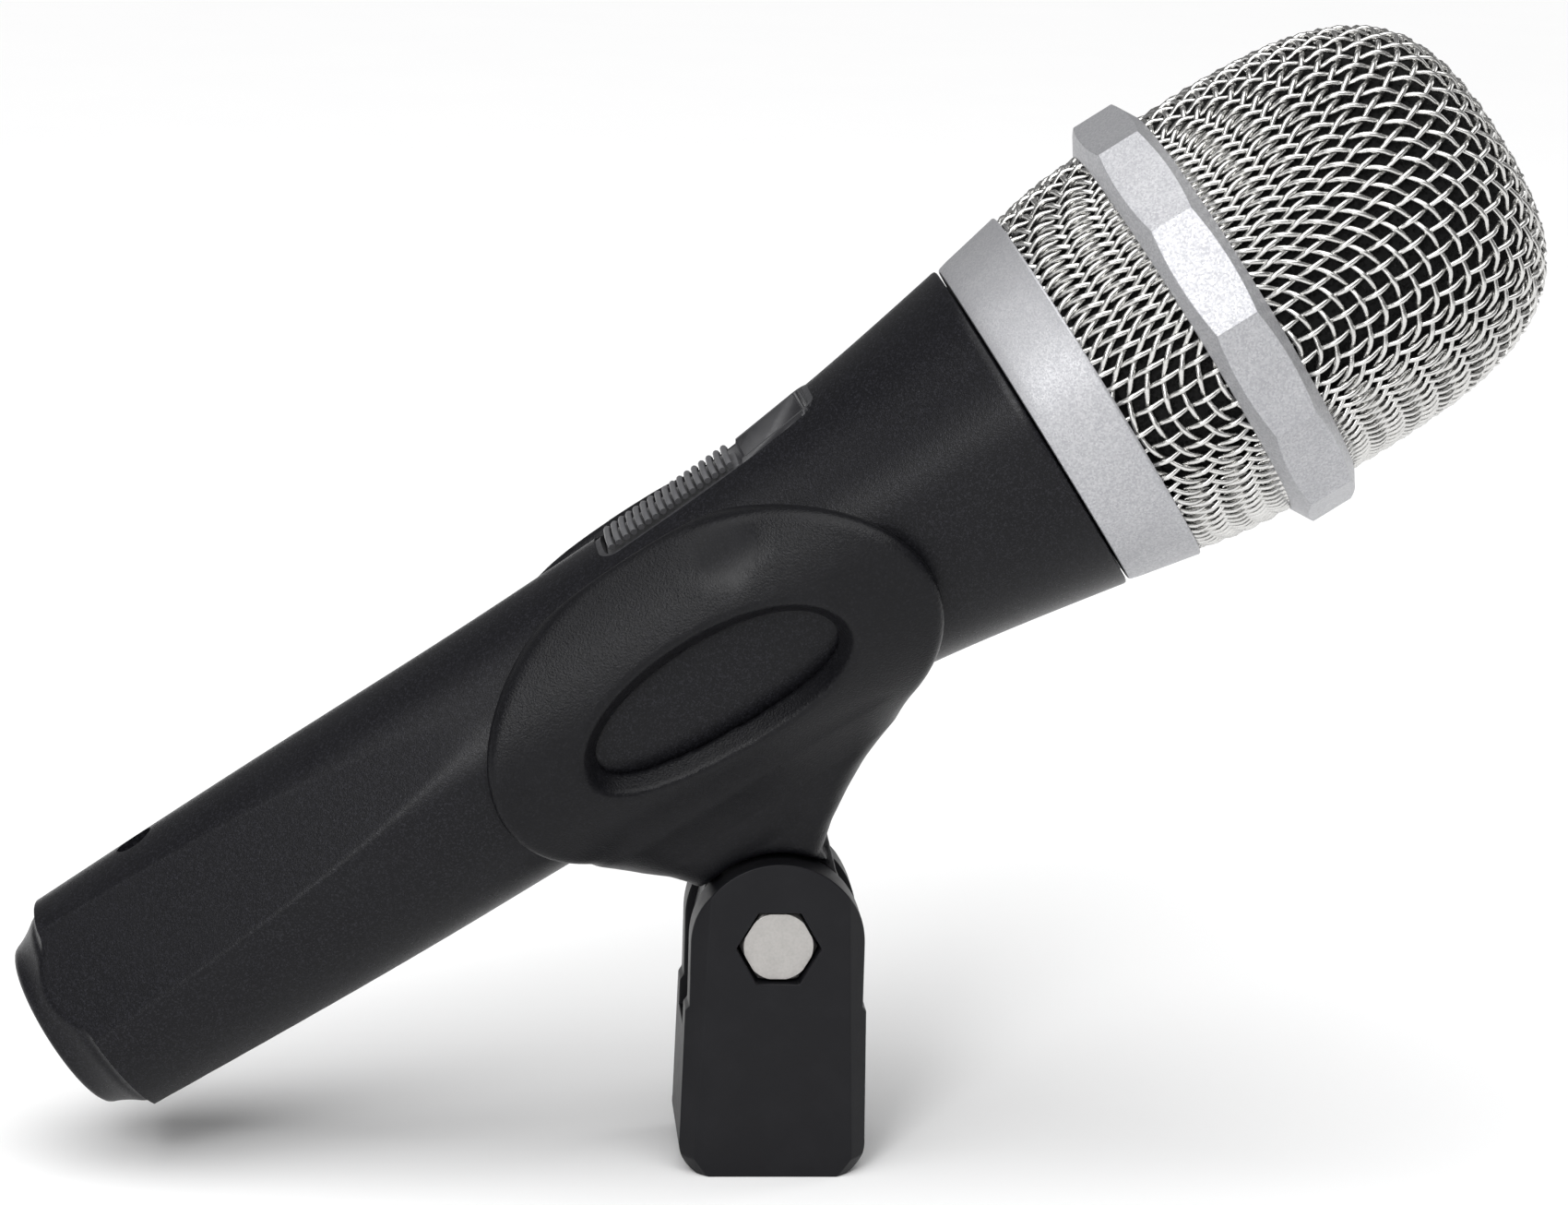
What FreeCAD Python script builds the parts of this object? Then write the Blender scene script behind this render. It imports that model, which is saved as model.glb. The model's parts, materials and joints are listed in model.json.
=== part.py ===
import FreeCAD, Part
import math
import os

# Hand-held dynamic vocal microphone with an on/off slide switch, resting in its pivoting stand clip.
#
# Row frame: the origin is the centre of the stand adapter's thread mouth, +Z is up, +X points
# to the microphone's head and +Y to the far cheek of the clip. Everything on the microphone is
# drawn in the microphone frame (x along its axis to the head, z to the switch side, x = 0 at the
# foot of the perpendicular from the clip's hinge) and then turned and lifted into the row frame.

Vector = FreeCAD.Vector
ORIGIN = Vector(0, 0, 0)
X_AXIS = Vector(1, 0, 0)
Y_AXIS = Vector(0, 1, 0)
Z_AXIS = Vector(0, 0, 1)

# ---- driving dimensions, in millimetres and degrees ----------------------------------------
TILT = 33.3                 # microphone axis above the horizontal, at rest
HINGE_HEIGHT = 28.3         # hinge axis above the thread mouth
AXIS_OFFSET = 35.3          # hinge axis to microphone axis
GAP = 0.3                   # clearance between curved faces that slide on each other

TAIL_X = -77.3              # tail rim of the handle
TAIL_RADIUS = 10.8
SHOULDER_X = -71.9          # where the tail shoulder meets the tapered grip
HANDLE_END = 57.3           # front edge of the painted handle
HANDLE_OUTLINE = [(SHOULDER_X, 14.3), (-40, 14.95), (-10, 15.25), (10, 15.9), (30, 17.15),
                  (45, 19.25), (HANDLE_END, 21.4)]

FLAT_ANGLES = (60, 180, 300)    # grip flats, degrees round the axis from the switch line
FLAT_DISTANCE = 12.05       # flat to axis, at the shoulder
FLAT_SLOPE = 3.2            # degrees by which each flat runs out towards the head

SOCKET_RADIUS = 8.15        # bore that takes the cable plug and the connector insert
SOCKET_FLOOR = -63.0        # face of the connector insert
INSERT_END = -51.0
PIN_RADIUS = 1.2
PIN_CIRCLE = 4.05
PIN_TIP = -75.0
PIN_TAG = -48.5
SET_SCREW_X = -57.8
SET_SCREW_HOLE = 2.35

CAVITY_TAIL_RADIUS = 11.2   # hollow of the grip behind the connector
CAVITY_SWITCH_RADIUS = 12.2
CAVITY_HEAD_RADIUS = 15.6
NECK_END = 65.6             # front of the threaded neck
NECK_RADIUS = 19.6
NECK_BORE = 17.2
NECK_STEP = 54.0

SLOT_START = 6.9            # switch window in the top of the handle
SLOT_END = 37.6
SLOT_HALF = 6.2
SLOT_CORNER = 2.2
TRAY_WALL = 0.7
TRAY_RIM_LEVELS = (15.35, 17.55)  # flat top of the tray's walls at its rear and front ends
TRAY_BOTTOM = 9.6
TRAY_FLOOR = 12.3
RAIL_OFFSET = 2.7
SLIDER_LENGTH = 18.5
SLIDER_HALF = 5.2
SLIDER_BASE = 13.6
SLIDER_CROWN = -0.15        # the ribs stand a little below the round of the handle
RIB_PITCH = 1.04
RIB_COUNT = 17
RIB_DEPTH = 0.7
SWITCH_TRAVEL = 8.5
LEVER_X = 16.0              # lever of the inner slide switch, at rest
LEVER_HALF = 1.0

BOARD_TOP = 2.5
BOARD_THICKNESS = 1.5
BOSS_PLACES = (9.3, 33.6)   # screw bosses under the tray

COLLAR_START = HANDLE_END + GAP
COLLAR_END = 66.4
COLLAR_RADII = (21.3, 23.05)
LOWER_END = 78.0            # lower basket meets the ring
RING_END = 86.4
RING_RADIUS = 27.0          # over the corners between the facets
RING_FACETS = 12
RING_PHASE = 8.0            # first facet edge above the horizontal
RING_FLANK = 1.6            # axial length of each sloping side
GRILLE_RADIUS = 24.0
GRILLE_WALL = 1.2           # two crossing wires
LOWER_CURVE = 0.0095        # how fast the lower basket narrows from the ring
DOME_END = 120.5
DOME_POWER = 3.35           # squareness of the dome
FOAM_WALL = 2.5
FOAM_START = 67.0

HOUSING_START = 58.0        # moving-coil capsule
HOUSING_END = 92.0
HOUSING_RADIUS = 13.5
HOUSING_WALL = 1.2
CAP_END = 99.0
YOKE_START = 70.0
YOKE_END = 85.5
MAGNET_RADIUS = 7.0
MAGNET_START = 73.0
POLE_START = 82.0
POLE_RADIUS = 7.2
POLE_END = 85.2
COIL_RADII = (8.3, 7.7)
COIL_SPAN = (82.6, 87.4)
DIAPHRAGM_RADIUS = 11.6
DIAPHRAGM_SKIN = 0.3
DIAPHRAGM_RISE = 2.4
CHAMBER_START = 47.0
CHAMBER_RADIUS = 10.5

CLIP_WALL = 3.2             # clip cradle round the handle
CLIP_CENTRE = (10.4, -3.45)
CLIP_HALF_LENGTH = 28.4
CLIP_HALF_HEIGHT = 18.75
CLIP_OPEN_ANGLE = 52.0      # top edge of each cheek above the horizontal
# Oval window: distance from the middle plane, centre, and half axes, outside the cheek and at the handle.
WINDOW_OVALS = ((21.5, (9.6, -5.0), (19.0, 11.3)),
                (14.0, (10.3, -3.65), (14.3, 4.85)))
NECK_SECTIONS = ((-15.5, (-13.5, 31.0), 12.0, 8.0),     # level, x span, half width, corner
                 (-19.8, (-9.5, 26.0), 9.6, 6.0),
                 (-22.0, (-6.9, 20.8), 8.8, 5.0),
                 (-24.0, (-5.2, 17.2), 8.0, 4.0),
                 (-26.5, (-3.9, 13.3), 7.6, 3.5),
                 (-29.0, (-2.9, 10.3), 7.4, 3.0))

EAR_RADIUS = 10.3           # stand adapter and hinge
EAR_HALF_THICKNESS = 9.8
EAR_SLOT_HALF = 3.8
EAR_SLOT_FLOOR = -11.2      # below the hinge axis
TONGUE_HALF = 3.2
TONGUE_RADIUS = 9.3
HINGE_CLEARANCE = 10.9      # radius that the moving neck keeps from the hinge axis
BOLT_RADIUS = 2.5
BOLT_BORE = 2.58
BOLT_HEAD_FLATS = 8.0
POCKET_FLATS = 8.7
POCKET_FLOOR = 5.8
BOLT_FACE = 8.9
BOLT_TIP = 9.6
WASHER_SPAN = (3.25, 3.75)
WASHER_RADIUS = 6.5
THREAD_RADIUS = 7.45        # 5/8 inch, 27 threads: minor radius
INSERT_RADIUS = 8.5
INSERT_LENGTH = 15.5


# ---- drawing helpers ------------------------------------------------------------------------
def at(x, z, y=0.0):
    return Vector(x, y, z)


def box(x_span, y_span, z_span):
    size = [span[1] - span[0] for span in (x_span, y_span, z_span)]
    return Part.makeBox(size[0], size[1], size[2], Vector(x_span[0], y_span[0], z_span[0]))


def rod(x_span, radius, y=0.0, z=0.0):
    return Part.makeCylinder(radius, x_span[1] - x_span[0], Vector(x_span[0], y, z), X_AXIS)


def tube(x_span, outer, inner):
    return rod(x_span, outer).cut(rod(x_span, inner))


def polygon(points):
    corners = [at(x, z) for x, z in points]
    return Part.makePolygon(corners + corners[:1])


def lathe(edges):
    """Solid of revolution about the microphone axis, from edges that close an outline."""
    return Part.Face(Part.Wire(edges)).revolve(ORIGIN, X_AXIS, 360)


def turned(points):
    return lathe(polygon(points).Edges)


def spline(points):
    curve = Part.BSplineCurve()
    curve.interpolate([at(x, z) for x, z in points])
    return curve.toShape()


def line(start, end):
    return Part.makeLine(at(*start), at(*end))


def arc(start, middle, end):
    return Part.Arc(at(*start), at(*middle), at(*end)).toShape()


def prism(edges, y_span):
    """Solid swept sideways between two y values, from edges in the xz plane."""
    face = Part.Face(Part.Wire(Part.__sortEdges__(edges)))
    face.translate(Y_AXIS * y_span[0])
    return face.extrude(Y_AXIS * (y_span[1] - y_span[0]))


def hexagon(flats, y_span, centre_z):
    """Hexagonal bar along y, with a corner to each side."""
    radius = flats / math.sqrt(3)
    angles = [math.radians(60 * step) for step in range(6)]
    corners = [(radius * math.cos(a), centre_z + radius * math.sin(a)) for a in angles]
    return prism(polygon(corners).Edges, y_span)


def fused(shapes):
    result = shapes[0].fuse(shapes[1:]) if len(shapes) > 1 else shapes[0]
    return result.removeSplitter()


def on_microphone(shape):
    """From the microphone frame to the row frame."""
    placed = shape.copy()
    placed.rotate(ORIGIN, Y_AXIS, -TILT)
    tilt = math.radians(TILT)
    placed.translate(Vector(-AXIS_OFFSET * math.sin(tilt), 0, HINGE_HEIGHT + AXIS_OFFSET * math.cos(tilt)))
    return placed


def on_hinge(shape):
    """From the upright hinge frame to the row frame."""
    placed = shape.copy()
    placed.translate(Z_AXIS * HINGE_HEIGHT)
    return placed


def handle_body(grow=0.0):
    """The grip from shoulder to front edge as a solid, its radius grown by a wall or a gap."""
    outline = [(x, radius + grow) for x, radius in HANDLE_OUTLINE]
    first, last = outline[0], outline[-1]
    return lathe([line((first[0], 0), first), spline(outline), line(last, (last[0], 0)),
                  line((last[0], 0), (first[0], 0))])


# ---- handle ---------------------------------------------------------------------------------
def handle_outside():
    shoulder = HANDLE_OUTLINE[0]
    rim = (TAIL_X + 0.6, TAIL_RADIUS)
    corner = (-73.4, 12.7)
    tail = lathe([line((TAIL_X, 0), (TAIL_X, TAIL_RADIUS - 0.5)),
                  line((TAIL_X, TAIL_RADIUS - 0.5), rim),
                  arc(rim, (-74.9, 11.4), corner),
                  arc(corner, (-72.9, 13.75), shoulder),
                  line(shoulder, (SHOULDER_X, 0)),
                  line((SHOULDER_X, 0), (TAIL_X, 0))])
    neck = rod((HANDLE_END, NECK_END), NECK_RADIUS)
    return fused([tail, handle_body(), neck])


def handle_cavity():
    return turned([(INSERT_END, 0), (INSERT_END, SOCKET_RADIUS), (-47, CAVITY_TAIL_RADIUS),
                   (-22, CAVITY_TAIL_RADIUS), (10, CAVITY_SWITCH_RADIUS), (NECK_STEP, CAVITY_HEAD_RADIUS),
                   (NECK_STEP, NECK_BORE), (NECK_END, NECK_BORE), (NECK_END, 0)])


def grip_flat(angle):
    block = Part.makeBox(130, 60, 20, Vector(-30, -30, 0))
    block.rotate(ORIGIN, Y_AXIS, -FLAT_SLOPE)
    block.translate(Vector(SHOULDER_X, 0, FLAT_DISTANCE))
    block.rotate(ORIGIN, X_AXIS, -angle)
    return block


def rounded_block(x_span, half_width, z_span, corner):
    """Block with its four upright edges rounded."""
    block = box(x_span, (-half_width, half_width), z_span)
    upright = [edge for edge in block.Edges if abs(edge.tangentAt(edge.FirstParameter).z) > 0.9]
    return block.makeFillet(corner, upright)


def slot_block(inset, bottom):
    """Fills the switch window, less an inset, from a bottom level out through the handle."""
    x_span = (SLOT_START + inset, SLOT_END - inset)
    return rounded_block(x_span, SLOT_HALF - inset, (bottom, 22), SLOT_CORNER - inset)


def screw_shaft():
    return Part.makeCylinder(SET_SCREW_HOLE, 12, Vector(SET_SCREW_X, 0, 6.0), Z_AXIS)


def handle_shell():
    shell = handle_outside()
    for angle in FLAT_ANGLES:
        shell = shell.cut(grip_flat(angle))
    shell = shell.cut(handle_cavity())
    shell = shell.cut(rod((TAIL_X - 1, INSERT_END), SOCKET_RADIUS))
    return shell.cut(slot_block(0, TRAY_BOTTOM - 4)).cut(screw_shaft())


# ---- switch ---------------------------------------------------------------------------------
def recess_block():
    return slot_block(TRAY_WALL, TRAY_FLOOR)


def lever_gate(depth_span):
    return box((LEVER_X - 1.6, LEVER_X + SWITCH_TRAVEL + 1.6), (-1.5, 1.5), depth_span)


def rim_wedge():
    """Everything below the sloping plane of the tray's rim."""
    rear, front = TRAY_RIM_LEVELS
    corners = [Vector(SLOT_START - 1, -10, 0), Vector(SLOT_END + 1, -10, 0), Vector(SLOT_END + 1, -10, front),
               Vector(SLOT_START - 1, -10, rear)]
    return Part.Face(Part.makePolygon(corners + corners[:1])).extrude(Vector(0, 20, 0))


def switch_plate():
    """Tray set in the window: floor with two rails, and bosses for the circuit board below."""
    tray = slot_block(0, TRAY_BOTTOM).common(handle_body())
    tray = tray.fuse(slot_block(0.02, TRAY_FLOOR).common(rim_wedge())).removeSplitter()
    tray = tray.cut(recess_block())
    rails = [box((SLOT_START + 2, SLOT_END - 2), (y - 0.5, y + 0.5), (TRAY_FLOOR - 0.2, TRAY_FLOOR + 0.9))
             for y in (-RAIL_OFFSET, RAIL_OFFSET)]
    bosses = [Part.makeCylinder(1.7, TRAY_BOTTOM - BOARD_TOP + 0.5, Vector(x, 0, BOARD_TOP), Z_AXIS)
              for x in BOSS_PLACES]
    plate = fused([tray] + rails + bosses)
    for x in BOSS_PLACES:
        plate = plate.cut(Part.makeCylinder(0.9, 5.5, Vector(x, 0, BOARD_TOP), Z_AXIS))
    return plate.cut(lever_gate((TRAY_BOTTOM - 1, TRAY_FLOOR + 1)))


def switch_slider():
    """Thumb slide with cross ribs; its crown follows the round of the handle."""
    start = SLOT_START + TRAY_WALL + 0.15
    block = rounded_block((start, start + SLIDER_LENGTH), SLIDER_HALF, (SLIDER_BASE, 20), SLOT_CORNER)
    slider = block.common(handle_body(SLIDER_CROWN))
    margin = (SLIDER_LENGTH - (RIB_COUNT - 1) * RIB_PITCH) / 2
    for number in range(RIB_COUNT - 1):
        middle = start + margin + (number + 0.5) * RIB_PITCH
        groove = handle_body(SLIDER_CROWN + 1).cut(handle_body(SLIDER_CROWN - RIB_DEPTH))
        groove = groove.common(box((middle - 0.22, middle + 0.22), (-8, 8), (SLIDER_BASE, 20)))
        slider = slider.cut(groove)
    return slider


def switch_lever():
    return box((LEVER_X - LEVER_HALF, LEVER_X + LEVER_HALF), (-LEVER_HALF, LEVER_HALF), (6.6, SLIDER_BASE))


def slide_switch():
    body = box((12.0, 30.0), (-3.5, 3.5), (BOARD_TOP, 8.2))
    return body.cut(lever_gate((6.3, 9)))


def switch_circuit_board():
    board = box((2.0, 38.0), (-7, 7), (BOARD_TOP - BOARD_THICKNESS, BOARD_TOP))
    for x in BOSS_PLACES:
        board = board.cut(Part.makeCylinder(0.9, 3, Vector(x, 0, 0), Z_AXIS))
    return board


def switch_screws():
    under = BOARD_TOP - BOARD_THICKNESS
    screws = []
    for x in BOSS_PLACES:
        head = Part.makeCylinder(1.7, 1.1, Vector(x, 0, under - 1.1), Z_AXIS)
        shank = Part.makeCylinder(0.9, 6.0, Vector(x, 0, under - 0.1), Z_AXIS)
        screws.append(fused([head, shank]))
    return Part.makeCompound(screws)


# ---- connector ------------------------------------------------------------------------------
def pin_places():
    """Pins 1 and 2 side by side above the axis line, pin 3 alone below it."""
    angles = [math.radians(degrees) for degrees in (8, 172, 270)]
    return [(PIN_CIRCLE * math.cos(a), PIN_CIRCLE * math.sin(a)) for a in angles]


def xlr_pin(y, z):
    tip = Part.makeCone(0.7, PIN_RADIUS, 1.2, Vector(PIN_TIP, y, z), X_AXIS)
    body = rod((PIN_TIP + 1.2, PIN_TAG), PIN_RADIUS, y, z)
    return fused([tip, body])


def xlr_insert():
    insert = rod((SOCKET_FLOOR, INSERT_END), SOCKET_RADIUS)
    for y, z in pin_places():
        insert = insert.cut(rod((SOCKET_FLOOR - 1, INSERT_END + 1), PIN_RADIUS, y, z))
    return insert.cut(Part.makeCylinder(SET_SCREW_HOLE, 5, Vector(SET_SCREW_X, 0, 6.9), Z_AXIS))


def xlr_set_screw():
    screw = Part.makeCylinder(SET_SCREW_HOLE, 4.9, Vector(SET_SCREW_X, 0, 6.9), Z_AXIS)
    socket = hexagon(2.0, (0, 2), 0)
    socket.rotate(ORIGIN, X_AXIS, 90)
    socket.translate(Vector(SET_SCREW_X, 0, 10.3))
    return screw.cut(socket)


# ---- leads inside the handle ----------------------------------------------------------------
def lead(points, radius, bend):
    """A wire along straight runs joined by tangent arcs."""
    corners = [Vector(*point) for point in points]
    edges = []
    start = corners[0]
    for before, corner, after in zip(corners, corners[1:], corners[2:]):
        inward = (before - corner).normalize()
        outward = (after - corner).normalize()
        half = inward.getAngle(outward) / 2
        reach = bend / math.tan(half)
        middle = corner + (inward + outward).normalize() * (bend / math.sin(half) - bend)
        edges.append(Part.makeLine(start, corner + inward * reach))
        edges.append(Part.Arc(corner + inward * reach, middle, corner + outward * reach).toShape())
        start = corner + outward * reach
    edges.append(Part.makeLine(start, corners[-1]))
    path = Part.Wire(edges)
    heading = corners[1] - corners[0]
    section = Part.Wire([Part.makeCircle(radius, corners[0], heading)])
    return path.makePipeShell([section], True, False, 1)


def plug_leads():
    """Three wires from the connector's tags to the tail end of the circuit board."""
    wires = []
    board_level = BOARD_TOP - BOARD_THICKNESS / 2
    for (y, z), board_y in zip(pin_places(), (4.5, -4.5, 0.0)):
        wires.append(lead([(PIN_TAG, y, z), (-38, y, z), (-10, board_y, board_level),
                           (2.0, board_y, board_level)], 0.6, 12.0))
    return Part.makeCompound(wires)


def capsule_leads():
    """Two wires from the head end of the circuit board, past the rear chamber, to the capsule."""
    board_level = BOARD_TOP - BOARD_THICKNESS / 2
    return Part.makeCompound([lead([(38.0, y, board_level), (42.0, y, board_level), (45.5, y, -12.2),
                                    (HOUSING_START, y, -12.2)], 0.5, 3.0) for y in (-2.2, 2.2)])


# ---- capsule --------------------------------------------------------------------------------
def shock_mount():
    return turned([(NECK_STEP, 14.6), (NECK_STEP, NECK_BORE), (64.4, NECK_BORE), (64.4, HOUSING_RADIUS),
                   (HOUSING_START, HOUSING_RADIUS), (HOUSING_START, 14.6)])


def capsule_housing():
    inner = HOUSING_RADIUS - HOUSING_WALL
    return turned([(HOUSING_START, 4), (HOUSING_START, HOUSING_RADIUS), (HOUSING_END, HOUSING_RADIUS),
                   (HOUSING_END, inner), (HOUSING_START + 1.5, inner), (HOUSING_START + 1.5, 4)])


def capsule_cap():
    """Resonator cap: a shallow cup with a ring of round ports and one in the middle."""
    inner = HOUSING_RADIUS - HOUSING_WALL
    cap = turned([(HOUSING_END, HOUSING_RADIUS), (CAP_END - 1.5, HOUSING_RADIUS), (CAP_END, HOUSING_RADIUS - 1.5),
                  (CAP_END, 0), (CAP_END - 1.5, 0), (CAP_END - 1.5, inner), (HOUSING_END, inner)])
    ports = [rod((CAP_END - 3, CAP_END + 1), 1.6)]
    for step in range(8):
        angle = math.radians(45 * step)
        ports.append(rod((CAP_END - 3, CAP_END + 1), 1.5, 7 * math.cos(angle), 7 * math.sin(angle)))
    return cap.cut(ports[0].fuse(ports[1:]))


def capsule_screen():
    return rod((CAP_END, CAP_END + 0.6), 11.0)


def magnet_yoke():
    outer = HOUSING_RADIUS - HOUSING_WALL
    return turned([(YOKE_START, 0), (YOKE_START, outer), (YOKE_END, outer), (YOKE_END, 9.0), (POLE_START, 9.0),
                   (POLE_START, 10.4), (MAGNET_START, 10.4), (MAGNET_START, 0)])


def dome_arc(rim_x, reach, rise):
    """Meridian of a spherical cap, from its rim to its top on the axis."""
    sphere = (reach ** 2 + rise ** 2) / (2 * rise)
    centre = rim_x + rise - sphere
    half = math.asin(reach / sphere) / 2
    middle = (centre + sphere * math.cos(half), sphere * math.sin(half))
    return arc((rim_x, reach), middle, (rim_x + rise, 0))


def diaphragm():
    """Thin film: a dome over the voice coil, with a flat surround out to the rim."""
    back = COIL_SPAN[1]
    front = back + DIAPHRAGM_SKIN
    dome = COIL_RADII[0]
    return lathe([line((back, DIAPHRAGM_RADIUS), (front, DIAPHRAGM_RADIUS)),
                  line((front, DIAPHRAGM_RADIUS), (front, dome)),
                  dome_arc(front, dome, DIAPHRAGM_RISE),
                  line((front + DIAPHRAGM_RISE, 0), (back + DIAPHRAGM_RISE, 0)),
                  dome_arc(back, dome, DIAPHRAGM_RISE),
                  line((back, dome), (back, DIAPHRAGM_RADIUS))])


def rear_chamber():
    inner = CHAMBER_RADIUS - 1.2
    return turned([(CHAMBER_START, 0), (CHAMBER_START, CHAMBER_RADIUS), (HOUSING_START, CHAMBER_RADIUS),
                   (HOUSING_START, inner), (CHAMBER_START + 1.5, inner), (CHAMBER_START + 1.5, 0)])


# ---- grille ---------------------------------------------------------------------------------
def lower_radius(x):
    return GRILLE_RADIUS - LOWER_CURVE * (LOWER_END + 1 - x) ** 2


def dome_outline(inset):
    """Points from the ring to the nose of the dome, moved inwards by an inset."""
    points = [(RING_END, GRILLE_RADIUS - inset)]
    for step in range(1, 12):
        turn = math.radians(7.5 * step)
        share = math.sin(turn) ** (2 / DOME_POWER)
        points.append((RING_END + (DOME_END - RING_END - inset) * share,
                       (GRILLE_RADIUS - inset) * math.cos(turn) ** (2 / DOME_POWER)))
    points.append((DOME_END - inset, 0))
    return points


def grille_collar():
    return turned([(COLLAR_START, NECK_RADIUS + GAP), (COLLAR_START, COLLAR_RADII[0]), (COLLAR_END, COLLAR_RADII[1]),
                   (COLLAR_END, NECK_RADIUS + GAP)])


def grille_ring():
    crown_start, crown_end = LOWER_END + RING_FLANK, RING_END - RING_FLANK
    root = GRILLE_RADIUS + 0.25
    ring = turned([(LOWER_END, GRILLE_RADIUS - 1.3), (LOWER_END, root), (crown_start, RING_RADIUS),
                   (crown_end, RING_RADIUS), (RING_END, root), (RING_END, GRILLE_RADIUS - 1.3)])
    half_turn = math.pi / RING_FACETS
    apothem = RING_RADIUS * math.cos(half_turn)
    for number in range(RING_FACETS):
        cutter = box((LOWER_END - 1, RING_END + 1), (-10, 10), (apothem, apothem + 5))
        cutter.rotate(ORIGIN, X_AXIS, 90 - RING_PHASE + (number + 0.5) * 360 / RING_FACETS)
        ring = ring.cut(cutter)
    return ring


def lower_shell(outer_inset, inner_inset, start):
    middle = (start + LOWER_END) / 2
    outer = [(x, lower_radius(x) - outer_inset) for x in (start, middle, LOWER_END)]
    inner = [(x, lower_radius(x) - inner_inset) for x in (start, middle, LOWER_END)]
    return lathe([spline(outer), line(outer[-1], inner[-1]), spline(inner[::-1]), line(inner[0], outer[0])])


def dome_shell(outer_inset, inner_inset):
    outer, inner = dome_outline(outer_inset), dome_outline(inner_inset)
    return lathe([spline(outer), line(outer[-1], inner[-1]), spline(inner[::-1]), line(inner[0], outer[0])])


def foam_liner():
    outside, inside = GRILLE_WALL + 0.1, GRILLE_WALL + 0.1 + FOAM_WALL
    under_ring = tube((LOWER_END, RING_END), GRILLE_RADIUS - outside, GRILLE_RADIUS - inside)
    return fused([lower_shell(outside, inside, FOAM_START), under_ring, dome_shell(outside, inside)])


# ---- clip -----------------------------------------------------------------------------------
def oval(centre, half_axes, y):
    """Ellipse in the plane at y, its long axis along the microphone."""
    ellipse = Part.Ellipse(ORIGIN, *half_axes).toShape()
    ellipse.rotate(ORIGIN, X_AXIS, 90)
    ellipse.translate(at(centre[0], centre[1], y))
    return Part.Wire([ellipse])


def cheek_outline():
    return Part.Face(oval(CLIP_CENTRE, (CLIP_HALF_LENGTH, CLIP_HALF_HEIGHT), -40)).extrude(Y_AXIS * 80)


def window_cutter(side):
    return Part.makeLoft([oval(centre, half_axes, side * y) for y, centre, half_axes in WINDOW_OVALS], True, True)


def neck_section(level, x_span, half_width, corner):
    block = rounded_block(x_span, half_width, (level, level + 1), corner)
    bottom = min(block.Faces, key=lambda face: face.CenterOfMass.z)
    return bottom.OuterWire


def clip_neck():
    """Waist between the cradle and the hinge, flared into the cradle, with the tongue below."""
    flare = Part.makeLoft([neck_section(*section) for section in NECK_SECTIONS], True, False)
    sweep = Part.makeCylinder(HINGE_CLEARANCE, 60, Vector(0, -30, -AXIS_OFFSET), Y_AXIS)
    tongue = Part.makeCylinder(TONGUE_RADIUS, 2 * TONGUE_HALF, Vector(0, -TONGUE_HALF, -AXIS_OFFSET), Y_AXIS)
    web = prism(polygon([(-TONGUE_RADIUS + 1.2, -AXIS_OFFSET + 4.5), (-3.2, -25.0), (12.2, -26.5),
                         (TONGUE_RADIUS, -AXIS_OFFSET)]).Edges, (-TONGUE_HALF, TONGUE_HALF))
    return flare.cut(sweep), tongue.fuse(web)


def clip_cradle():
    shell = handle_body(GAP + CLIP_WALL).common(cheek_outline())
    mouth = polygon([(0, 0), (0, 40), (40 / math.tan(math.radians(CLIP_OPEN_ANGLE)), 40)])
    wedge = Part.Face(mouth).extrude(Y_AXIS * 120)
    wedge.rotate(ORIGIN, Z_AXIS, -90)
    wedge.translate(Vector(-60, 0, 0))
    shell = shell.cut(wedge).cut(wedge.mirror(ORIGIN, Y_AXIS))
    flare, tongue = clip_neck()
    cradle = shell.fuse([flare, tongue]).cut(handle_body(GAP))
    for side in (-1, 1):
        cradle = cradle.cut(window_cutter(side))
    bolt_hole = Part.makeCylinder(BOLT_BORE, 60, Vector(0, -30, -AXIS_OFFSET), Y_AXIS)
    return cradle.cut(bolt_hole).removeSplitter()


# ---- stand adapter and hinge ----------------------------------------------------------------
def adapter_blank():
    foot, waist = -HINGE_HEIGHT, -8.2
    front = [line((-8.9, foot), (8.9, foot)),
             arc((8.9, foot), (10.5, foot + 1.5), (11.05, foot + 4.3)),
             line((11.05, foot + 4.3), (10.75, waist)),
             line((10.75, waist), (EAR_RADIUS, waist + 0.6)),
             line((EAR_RADIUS, waist + 0.6), (EAR_RADIUS, 0)),
             arc((EAR_RADIUS, 0), (0, EAR_RADIUS), (-EAR_RADIUS, 0)),
             line((-EAR_RADIUS, 0), (-EAR_RADIUS, waist + 0.6)),
             line((-EAR_RADIUS, waist + 0.6), (-10.75, waist)),
             line((-10.75, waist), (-11.05, foot + 4.3)),
             arc((-11.05, foot + 4.3), (-10.5, foot + 1.5), (-8.9, foot))]
    return prism(front, (-EAR_HALF_THICKNESS, EAR_HALF_THICKNESS))


def adapter_plan(level, face_half, side_half):
    """Cross-section with bevelled corners, narrower across the hinge faces than at mid-depth."""
    depth = EAR_HALF_THICKNESS
    quarter = [(face_half, depth), (side_half, depth - 2.4)]
    corners = quarter + [(x, -y) for x, y in quarter[::-1]]
    corners = corners + [(-x, -y) for x, y in corners]
    points = [Vector(x, y, level) for x, y in corners]
    return Part.makePolygon(points + points[:1])


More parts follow.
